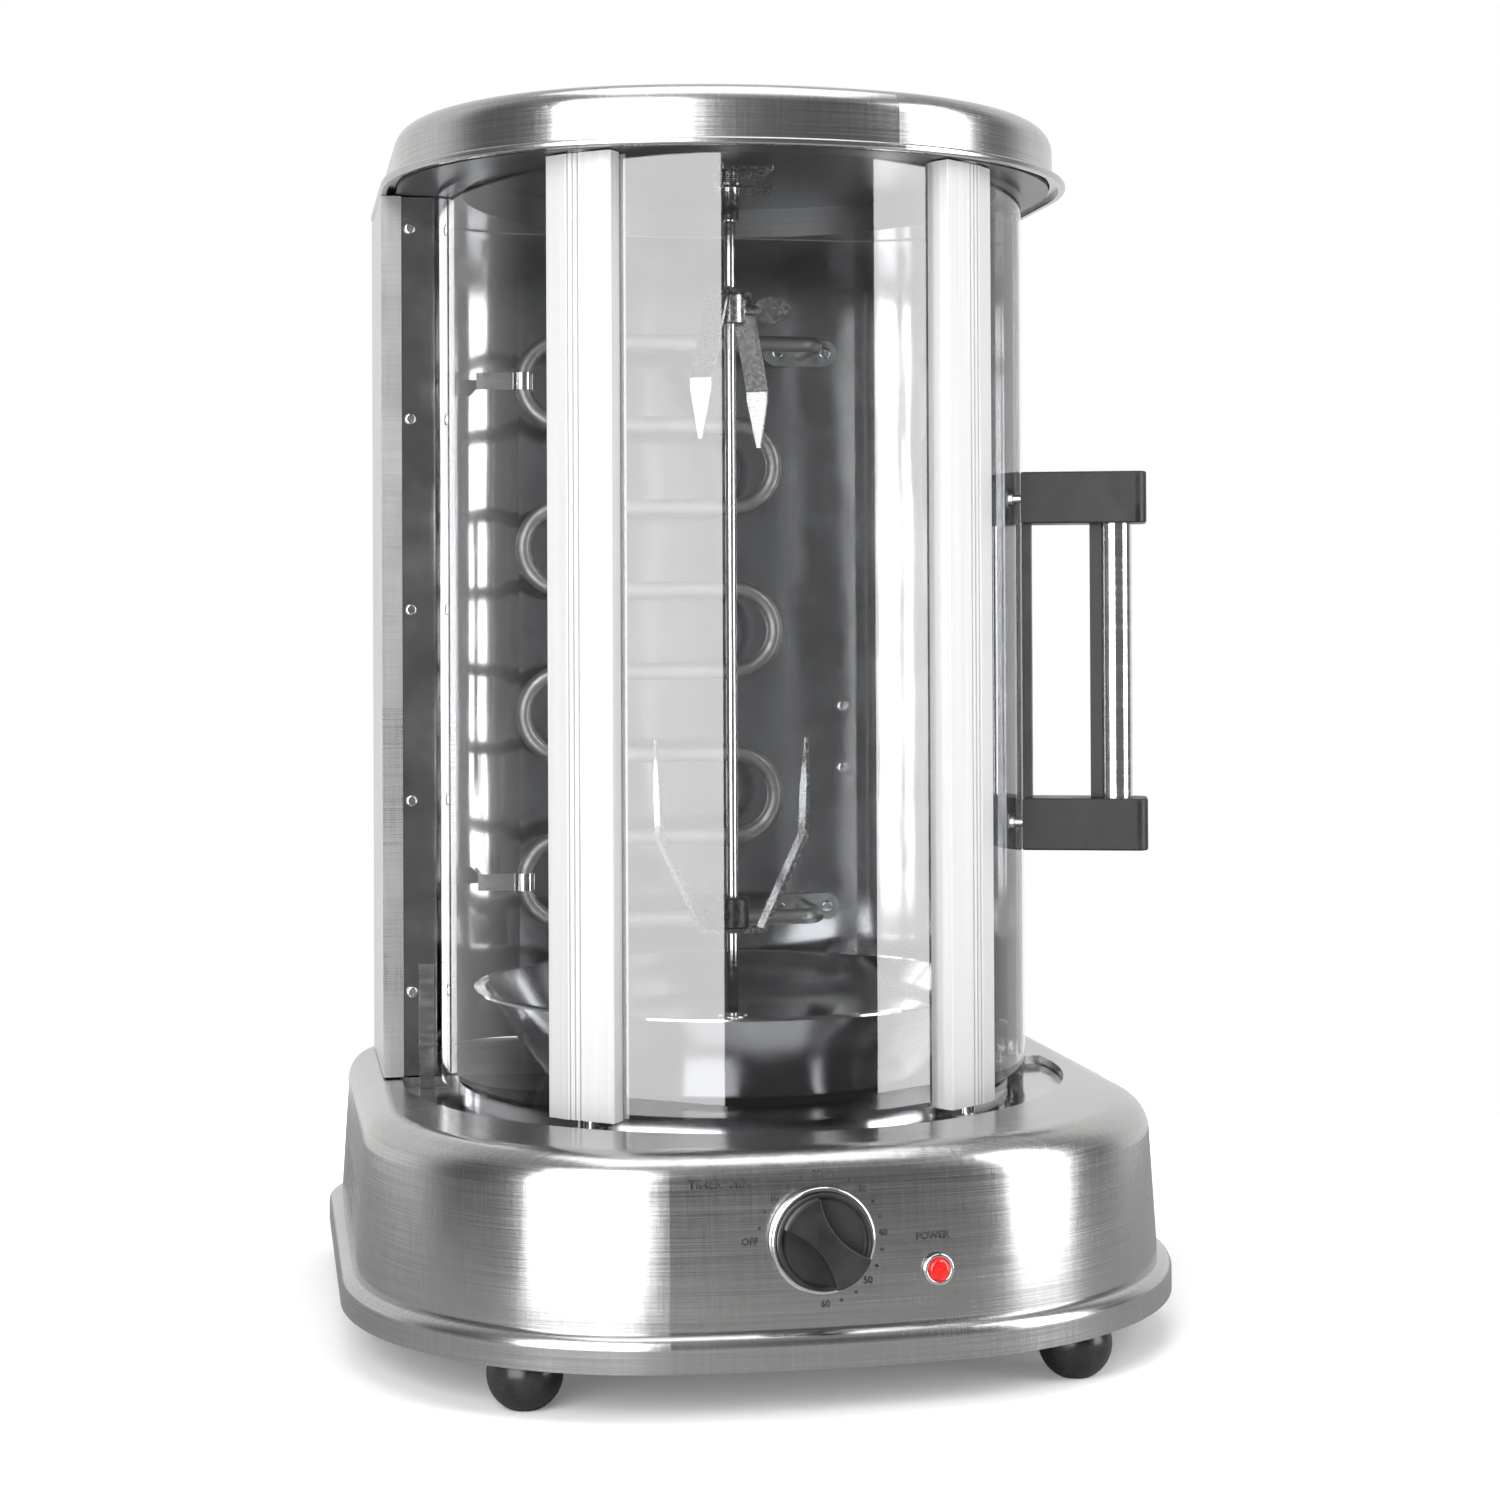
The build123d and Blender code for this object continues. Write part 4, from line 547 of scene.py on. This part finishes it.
class ROTISSERIE_OT_glass(bpy.types.Operator):
    """Clear curved panes with faint smudges"""

    bl_idname = "rotisserie.glass"
    bl_label = "Finish the glass"

    def execute(self, context):
        glass = context.scene.rotisserie_glass
        finish = Finish("Pane_glass", glass.tint, 0.0, glass.roughness)
        smudge = finish.noise((30, 30, 9), 4.0)
        clear = finish.node("ShaderNodeBsdfTransparent")
        film = finish.node("ShaderNodeMix", data_type="RGBA")
        film.inputs[6].default_value = (*glass.smudge, 1)
        film.inputs[7].default_value = (*glass.tint, 1)
        finish.link(finish.spread(smudge, 0, 1), film.inputs[0])
        finish.link(film.outputs[2], clear.inputs["Color"])
        shine = finish.node("ShaderNodeBsdfGlossy")
        shine.inputs["Color"].default_value = (*glass.gloss, 1)
        finish.link(
            finish.spread(smudge, glass.roughness, glass.roughness * 3), shine.inputs["Roughness"]
        )
        edge = finish.node("ShaderNodeFresnel")
        edge.inputs["IOR"].default_value = glass.index
        side = finish.node("ShaderNodeNewGeometry")
        entering = finish.node("ShaderNodeMath", operation="SUBTRACT")
        entering.inputs[0].default_value = 1.0
        finish.link(side.outputs["Backfacing"], entering.inputs[1])
        facing = finish.node("ShaderNodeMath", operation="MULTIPLY")
        finish.link(edge.outputs["Fac"], facing.inputs[0])
        finish.link(entering.outputs[0], facing.inputs[1])
        both = finish.node("ShaderNodeMixShader")
        finish.link(facing.outputs[0], both.inputs["Fac"])
        finish.link(clear.outputs["BSDF"], both.inputs[1])
        finish.link(shine.outputs["BSDF"], both.inputs[2])
        finish.link(both.outputs["Shader"], finish.tree.nodes["Material Output"].inputs["Surface"])
        finish.tree.nodes.remove(finish.shader)
        dress("glass", finish.material)
        return {"FINISHED"}


class ROTISSERIE_OT_black_parts(bpy.types.Operator):
    """Black moulded plastic and the rubber feet"""

    bl_idname = "rotisserie.black_parts"
    bl_label = "Finish the black parts"

    def execute(self, context):
        plastic = context.scene.rotisserie_plastic
        finish = Finish("Black_plastic", plastic.black, 0.0, plastic.black_roughness)
        grain = finish.cells((1500, 1500, 1500))
        haze = finish.noise((60, 60, 60), 3.0)
        finish.paint(finish.spread(haze, 0, 1), plastic.black, plastic.black_worn)
        finish.gloss(haze, plastic.black_roughness - 0.07, plastic.black_roughness + 0.08)
        finish.relief((grain, 0.02 * MM))
        finish.set("Specular IOR Level", 0.3)
        dress("black_plastic", finish.material)

        rubber = Finish("Black_rubber", plastic.rubber, 0.0, plastic.rubber_roughness)
        dust = rubber.noise((90, 90, 90), 4.0)
        rubber.paint(rubber.spread(dust, 0, 1), plastic.rubber, shade_of(plastic.rubber, 2.2))
        rubber.gloss(dust, plastic.rubber_roughness - 0.05, plastic.rubber_roughness + 0.12)
        rubber.relief((dust, 0.05 * MM))
        dress("black_rubber", rubber.material)
        return {"FINISHED"}


class ROTISSERIE_OT_lamp(bpy.types.Operator):
    """Red lens of the power lamp, lit from behind"""

    bl_idname = "rotisserie.lamp"
    bl_label = "Finish the lamp"

    def execute(self, context):
        plastic = context.scene.rotisserie_plastic
        finish = Finish("Red_lens", plastic.lens, 0.0, 0.12)
        facets = finish.cells((420, 420, 420))
        finish.paint(
            finish.spread(facets, 0, 1, 0.15, 0.75), shade_of(plastic.lens, 0.5), plastic.lens
        )
        finish.gloss(facets, 0.08, 0.2)
        finish.relief((facets, 0.4 * MM))
        finish.set("Coat Weight", 0.6)
        finish.set("Emission Strength", plastic.lens_strength)
        finish.paint(
            finish.spread(facets, 1, 0, 0.15, 0.7),
            shade_of(plastic.lens_glow, 0.12), plastic.lens_glow, "Emission Color",
        )
        dress("red_lens", finish.material)
        return {"FINISHED"}


def apply_all(piece):
    """Applies every modifier of the active piece."""
    for modifier in list(piece.modifiers):
        bpy.ops.object.modifier_apply(modifier=modifier.name)


def black_material():
    """The finish that the CAD's own black plastic has."""
    return bpy.data.materials["Black_plastic"]


class ROTISSERIE_OT_knob(bpy.types.Operator):
    """Timer knob: a dished skirt with a grip whose two sides are hollow"""

    bl_idname = "rotisserie.knob"
    bl_label = "Make the timer knob"

    def skirt(self, knob):
        """Round skirt with a shallow dish and soft edges."""
        deselect()
        bpy.ops.mesh.primitive_cylinder_add(
            vertices=96, radius=knob.radius, depth=knob.skirt - knob.foot,
            location=(0, 0, (knob.skirt + knob.foot) / 2),
        )
        piece = bpy.context.object
        bpy.ops.object.transform_apply(location=True, rotation=True, scale=True)
        bpy.ops.object.mode_set(mode="EDIT")
        bpy.ops.mesh.select_all(action="DESELECT")
        bpy.ops.mesh.select_mode(type="FACE")
        bpy.ops.object.mode_set(mode="OBJECT")
        for face in piece.data.polygons:
            face.select = face.normal.z > NEARLY_UP
        bpy.ops.object.mode_set(mode="EDIT")
        bpy.ops.mesh.inset(thickness=knob.rim)
        bpy.ops.mesh.inset(thickness=knob.rim, depth=-knob.dish)
        bpy.ops.object.mode_set(mode="OBJECT")
        soft = piece.modifiers.new("Soft", "BEVEL")
        soft.width = knob.skirt_edge
        soft.segments = 3
        soft.limit_method = "ANGLE"
        apply_all(piece)
        return piece

    def grip(self, knob):
        """Grip that is narrow in the middle and runs out to the rim at both ends."""
        deselect()
        bpy.ops.mesh.primitive_grid_add(x_subdivisions=36, y_subdivisions=14, size=2)
        piece = bpy.context.object
        reach = knob.radius - knob.grip_inset
        straight = SQUARE_END * reach
        for vertex in piece.data.vertices:
            along, across = vertex.co.x, vertex.co.y
            half = knob.waist + knob.flare * along * along
            side = across * half
            end = (reach * reach - side * side) ** 0.5
            vertex.co.x = along * (straight + (end - straight) * along * along)
            vertex.co.y = side
            vertex.co.z = knob.skirt - 2 * knob.dish
        bpy.ops.object.mode_set(mode="EDIT")
        bpy.ops.mesh.select_all(action="SELECT")
        bpy.ops.mesh.extrude_region_move(
            TRANSFORM_OT_translate={"value": (0, 0, knob.top - knob.skirt + 2 * knob.dish)}
        )
        bpy.ops.mesh.select_all(action="SELECT")
        bpy.ops.mesh.normals_make_consistent(inside=False)
        bpy.ops.object.mode_set(mode="OBJECT")
        soft = piece.modifiers.new("Soft", "BEVEL")
        soft.width = knob.grip_edge
        soft.segments = 4
        soft.limit_method = "ANGLE"
        soft.angle_limit = radians(50)
        apply_all(piece)
        return piece

    def execute(self, context):
        knob = context.scene.rotisserie_knob
        skirt = self.skirt(knob)
        grip = self.grip(knob)
        deselect()
        grip.select_set(True)
        skirt.select_set(True)
        context.view_layer.objects.active = skirt
        bpy.ops.object.join()
        skirt.name = "knob"
        skirt.data.name = "knob"
        low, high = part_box("timer_shaft")
        outward = Vector((0, -cos(knob.lean), sin(knob.lean)))
        place = (low + high) / 2 + outward * knob.shaft_sink
        skirt.matrix_world = (
            Matrix.Translation(place)
            @ Matrix.Rotation(pi / 2 - knob.lean, 4, "X")
            @ Matrix.Rotation(knob.turn, 4, "Z")
        )
        bpy.ops.object.transform_apply(location=True, rotation=True, scale=True)
        bpy.ops.object.shade_smooth_by_angle(angle=radians(35))
        skirt.data.materials.clear()
        skirt.data.materials.append(black_material())
        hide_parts("timer_knob")
        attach(skirt, "timer")
        return {"FINISHED"}


class ROTISSERIE_OT_spring(bpy.types.Operator):
    """Coil spring of the top bearing"""

    bl_idname = "rotisserie.spring"
    bl_label = "Wind the spring"

    def execute(self, context):
        spring = context.scene.rotisserie_spring
        low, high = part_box("bearing_spring")
        middle = (low + high) / 2
        radius = (high.x - low.x - spring.wire) / 2
        tall = high.z - low.z - spring.wire
        deselect()
        bpy.ops.mesh.primitive_circle_add(
            vertices=WIRE_SIDES, radius=spring.wire / 2, rotation=(pi / 2, 0, 0),
            location=(radius, 0, low.z + spring.wire / 2), fill_type="NOTHING",
        )
        bpy.ops.object.transform_apply(location=True, rotation=True, scale=True)
        coil = context.object
        coil.name = "spring"
        coil.data.name = "spring"
        wind = coil.modifiers.new("Wind", "SCREW")
        wind.axis = "Z"
        wind.screw_offset = tall / spring.coils
        wind.iterations = spring.coils
        wind.steps = COIL_STEPS
        wind.render_steps = COIL_STEPS
        wind.use_merge_vertices = False
        apply_all(coil)
        bpy.ops.object.mode_set(mode="EDIT")
        bpy.ops.mesh.select_all(action="SELECT")
        bpy.ops.mesh.remove_doubles(threshold=SAME_PLACE)
        bpy.ops.mesh.fill_holes(sides=WIRE_SIDES)
        bpy.ops.mesh.select_all(action="SELECT")
        bpy.ops.mesh.normals_make_consistent(inside=False)
        bpy.ops.object.mode_set(mode="OBJECT")
        coil.data.transform(Matrix.Translation((middle.x, middle.y, 0)))
        bpy.ops.object.shade_smooth_by_angle(angle=radians(50))
        coil.data.materials.clear()
        coil.data.materials.append(bpy.data.materials["Spring_wire"])
        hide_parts("bearing_spring")
        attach(coil, "oven")
        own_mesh(coil)
        return {"FINISHED"}


class PrintSheet:
    """Flat print that is laid on the front wall of the base."""

    def __init__(self):
        self.pieces = []
        graph = bpy.context.evaluated_depsgraph_get()
        self.wall = BVHTree.FromObject(frame["nodes"]["base_shell"], graph)

    def words(self, text, x, z, height, weight):
        """Text of a height with its middle at a place, made bolder by the weight."""
        deselect()
        bpy.ops.object.text_add()
        piece = bpy.context.object
        piece.data.body = text
        piece.data.align_x = "CENTER"
        piece.data.align_y = "CENTER"
        piece.data.size = 1.0
        piece.data.resolution_u = 4
        piece.data.offset = weight
        bpy.ops.object.convert(target="MESH")
        piece = bpy.context.object
        heights = [vertex.co.y for vertex in piece.data.vertices]
        scale = height / (max(heights) - min(heights))
        piece.data.transform(
            Matrix.Translation((x, 0, z)) @ Matrix.Rotation(pi / 2, 4, "X") @ Matrix.Scale(scale, 4)
        )
        self.pieces.append(piece)

    def dot(self, x, z, radius):
        """A round dot."""
        deselect()
        bpy.ops.mesh.primitive_circle_add(
            vertices=20, radius=radius, fill_type="NGON", location=(x, 0, z),
            rotation=(pi / 2, 0, 0),
        )
        bpy.ops.object.transform_apply(location=True, rotation=True, scale=True)
        self.pieces.append(bpy.context.object)

    def lay(self, name, film):
        """Joins the print, lays it on the wall and gives it thickness."""
        deselect()
        for piece in self.pieces:
            piece.select_set(True)
        whole = self.pieces[0]
        bpy.context.view_layer.objects.active = whole
        bpy.ops.object.join()
        bpy.ops.object.transform_apply(location=True, rotation=True, scale=True)
        whole.name = name
        whole.data.name = name
        bpy.ops.object.mode_set(mode="EDIT")
        bpy.ops.mesh.select_all(action="SELECT")
        bpy.ops.mesh.remove_doubles(threshold=SAME_PLACE_INK)
        bpy.ops.object.mode_set(mode="OBJECT")
        for vertex in whole.data.vertices:
            place, normal, face, distance = self.wall.ray_cast(
                Vector((vertex.co.x, -1, vertex.co.z)), Vector((0, 1, 0))
            )
            if place is None:
                raise RuntimeError("the print runs off the front wall")
            vertex.co.y = place.y - film
        whole.data.update()
        thickness = whole.modifiers.new("Thickness", "SOLIDIFY")
        thickness.thickness = 2 * film
        thickness.offset = 0
        bpy.ops.object.modifier_apply(modifier=thickness.name)
        return whole


class ROTISSERIE_OT_dial_print(bpy.types.Operator):
    """Numbers, dots and plain words printed on the front wall"""

    bl_idname = "rotisserie.dial_print"
    bl_label = "Print the dial"

    def execute(self, context):
        dial = context.scene.rotisserie_dial
        sheet = PrintSheet()
        step = radians(45)
        for index in range(7):
            turn = pi - index * step + dial.turn
            x = dial.ring * cos(turn)
            z = dial.middle_height + dial.ring * sin(turn)
            if index:
                sheet.words(str(10 * index), x, z, dial.digit_height, dial.weight)
                for part in range(1, THIRDS):
                    spot = turn + part * step / THIRDS
                    sheet.dot(dial.ring * cos(spot), dial.middle_height + dial.ring * sin(spot),
                              dial.dot_radius)
            else:
                sheet.words("OFF", -dial.ring - OFF_GAP * dial.digit_height,
                            dial.middle_height, dial.digit_height, dial.weight)
        sheet.words(
            "TIMER  MIN.", -dial.title_left, dial.title_up, dial.title_height, dial.weight
        )
        sheet.words("POWER", dial.label_right, dial.label_up, dial.label_height, dial.weight)
        print_piece = sheet.lay("dial_print", dial.film)
        ink = Finish("Print_ink", dial.ink, 0.0, 0.5)
        thin = ink.noise((900, 900, 900), 3.0)
        ink.paint(ink.spread(thin, 0, 1), dial.ink, dial.ink_worn)
        ink.gloss(thin, 0.42, 0.6)
        print_piece.data.materials.clear()
        print_piece.data.materials.append(ink.material)
        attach(print_piece, "oven")
        return {"FINISHED"}


def softbox(name, place, target, width, height, radiance):
    """An area lamp that shows in reflections but not to the camera."""
    data = bpy.data.lights.new(name, "AREA")
    data.shape = "RECTANGLE"
    data.size = width
    data.size_y = height
    data.energy = radiance * pi * width * height
    lamp = bpy.data.objects.new(name, data)
    bpy.context.scene.collection.objects.link(lamp)
    lamp.location = place
    lamp.rotation_euler = (Vector(target) - Vector(place)).to_track_quat("-Z", "Y").to_euler()
    lamp.visible_camera = False
    return lamp


def ramp(tree, source, reach, values):
    """A soft step from the first value to the second over a reach of the source."""
    made = tree.nodes.new("ShaderNodeMapRange")
    made.interpolation_type = "SMOOTHSTEP"
    for socket, value in zip(("From Min", "From Max", "To Min", "To Max"), (*reach, *values)):
        made.inputs[socket].default_value = value
    tree.links.new(source, made.inputs["Value"])
    return made.outputs["Result"]


def room(stage):
    """World light: white to the camera, and a room that is dark in front and light behind."""
    world = bpy.data.worlds.new("Studio")
    bpy.context.scene.world = world
    world.use_nodes = True
    tree = world.node_tree
    tree.nodes.clear()
    coords = tree.nodes.new("ShaderNodeTexCoord")
    parts = tree.nodes.new("ShaderNodeSeparateXYZ")
    tree.links.new(coords.outputs["Generated"], parts.inputs["Vector"])
    backward = ramp(tree, parts.outputs["Y"], BACK_RAMP, (stage.ahead, stage.behind))
    upward = ramp(tree, parts.outputs["Z"], CEILING_RAMP, (0.0, 1.0))
    around = tree.nodes.new("ShaderNodeMix")
    around.data_type = "FLOAT"
    around.inputs[3].default_value = stage.above
    tree.links.new(upward, around.inputs[0])
    tree.links.new(backward, around.inputs[2])
    path = tree.nodes.new("ShaderNodeLightPath")
    seen = tree.nodes.new("ShaderNodeMix")
    seen.data_type = "FLOAT"
    seen.inputs[3].default_value = 1.0
    tree.links.new(path.outputs["Is Camera Ray"], seen.inputs[0])
    tree.links.new(around.outputs[0], seen.inputs[2])
    background = tree.nodes.new("ShaderNodeBackground")
    output = tree.nodes.new("ShaderNodeOutputWorld")
    tree.links.new(seen.outputs[0], background.inputs["Strength"])
    tree.links.new(background.outputs["Background"], output.inputs["Surface"])
    background.inputs["Color"].default_value = (1, 1, 1, 1)


class ROTISSERIE_OT_stage(bpy.types.Operator):
    """Pale floor, two upright softboxes, one overhead, and the camera"""

    bl_idname = "rotisserie.stage"
    bl_label = "Set the stage"

    def execute(self, context):
        stage = context.scene.rotisserie_stage
        context.scene.view_settings.view_transform = "Standard"
        deselect()
        bpy.ops.mesh.primitive_circle_add(vertices=128, radius=stage.floor_radius, fill_type="NGON")
        floor = bpy.context.object
        floor.name = "floor"
        pale = Finish("Pale_floor", stage.floor, 0.0, 0.7)
        paper = pale.noise((3, 3, 3), 4.0)
        pale.paint(pale.spread(paper, 0, 1), shade_of(stage.floor, 0.985), stage.floor)
        pale.gloss(paper, 0.62, 0.78)
        pale.set("Emission Color", (1, 1, 1, 1))
        reach = pale.node("ShaderNodeVectorMath", operation="LENGTH")
        pale.link(pale.coords.outputs["Object"], reach.inputs[0])
        far = pale.spread(
            reach.outputs["Value"], stage.floor_glow, 1.0, stage.glow_start, stage.glow_end
        )
        path = pale.node("ShaderNodeLightPath")
        shown = pale.node("ShaderNodeMath", operation="MULTIPLY")
        pale.link(far, shown.inputs[0])
        pale.link(path.outputs["Is Camera Ray"], shown.inputs[1])
        pale.link(shown.outputs[0], pale.shader.inputs["Emission Strength"])
        dull = pale.node("ShaderNodeBsdfDiffuse")
        dull.inputs["Color"].default_value = (*shade_of(stage.floor, stage.floor_in_steel), 1)
        mirrored = pale.node("ShaderNodeMixShader")
        pale.link(path.outputs["Is Glossy Ray"], mirrored.inputs["Fac"])
        pale.link(pale.shader.outputs["BSDF"], mirrored.inputs[1])
        pale.link(dull.outputs["BSDF"], mirrored.inputs[2])
        pale.link(mirrored.outputs["Shader"], pale.tree.nodes["Material Output"].inputs["Surface"])
        floor.data.materials.append(pale.material)

        for name, turn, width, radiance in (
            ("softbox_left", stage.left_angle, stage.left_width, stage.left_radiance),
            ("softbox_right", stage.right_angle, stage.right_width, stage.right_radiance),
        ):
            across, ahead = stage.box_distance * sin(turn), stage.box_distance * cos(turn)
            place = (across, -ahead, stage.box_middle)
            softbox(name, place, (0, 0, stage.box_middle), width, stage.box_height, radiance)
        softbox("softbox_top", (0, -stage.top_ahead, stage.top_height), (0, 0, 0),
                stage.top_size, stage.top_size, stage.top_radiance)
        room(stage)

        data = bpy.data.cameras.new("camera")
        data.sensor_width = SENSOR
        data.lens = stage.camera_lens
        data.shift_y = stage.camera_shift
        camera = bpy.data.objects.new("camera", data)
        context.scene.collection.objects.link(camera)
        camera.matrix_world = (
            Matrix.Translation(stage.camera_place)
            @ Matrix.Rotation(-stage.camera_heading, 4, "Z")
            @ Matrix.Rotation(pi / 2 + stage.camera_tilt, 4, "X")
            @ Matrix.Rotation(stage.camera_roll, 4, "Z")
        )
        context.scene.camera = camera
        return {"FINISHED"}


OPERATORS = (
    ROTISSERIE_OT_shell,
    ROTISSERIE_OT_polished,
    ROTISSERIE_OT_fittings,
    ROTISSERIE_OT_heater,
    ROTISSERIE_OT_bars,
    ROTISSERIE_OT_glass,
    ROTISSERIE_OT_black_parts,
    ROTISSERIE_OT_lamp,
    ROTISSERIE_OT_knob,
    ROTISSERIE_OT_spring,
    ROTISSERIE_OT_dial_print,
    ROTISSERIE_OT_stage,
)


class ROTISSERIE_PT_panel(bpy.types.Panel):
    """The steps that dress the oven, in order"""

    bl_idname = "ROTISSERIE_PT_panel"
    bl_label = "Rotisserie oven"
    bl_space_type = "VIEW_3D"
    bl_region_type = "UI"
    bl_category = "Rotisserie"

    def draw(self, context):
        for operator in OPERATORS:
            self.layout.operator(operator.bl_idname)


SETTINGS = {
    "rotisserie_steel": SteelSettings,
    "rotisserie_glass": GlassSettings,
    "rotisserie_plastic": PlasticSettings,
    "rotisserie_dial": DialSettings,
    "rotisserie_knob": KnobSettings,
    "rotisserie_spring": SpringSettings,
    "rotisserie_stage": StageSettings,
}
CLASSES = (*SETTINGS.values(), *OPERATORS, ROTISSERIE_PT_panel)


def register():
    """Adds the settings, the operators and the panel."""
    for made in CLASSES:
        bpy.utils.register_class(made)
    for name, group in SETTINGS.items():
        setattr(bpy.types.Scene, name, bpy.props.PointerProperty(type=group))


def unregister():
    """Takes them away again."""
    for name in SETTINGS:
        delattr(bpy.types.Scene, name)
    for made in reversed(CLASSES):
        bpy.utils.unregister_class(made)


def main():
    """Dresses the CAD model and sets the stage."""
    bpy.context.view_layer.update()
    register()
    for operator in OPERATORS:
        group, name = operator.bl_idname.split(".")
        getattr(getattr(bpy.ops, group), name)()


if __name__ == "__main__":
    main()
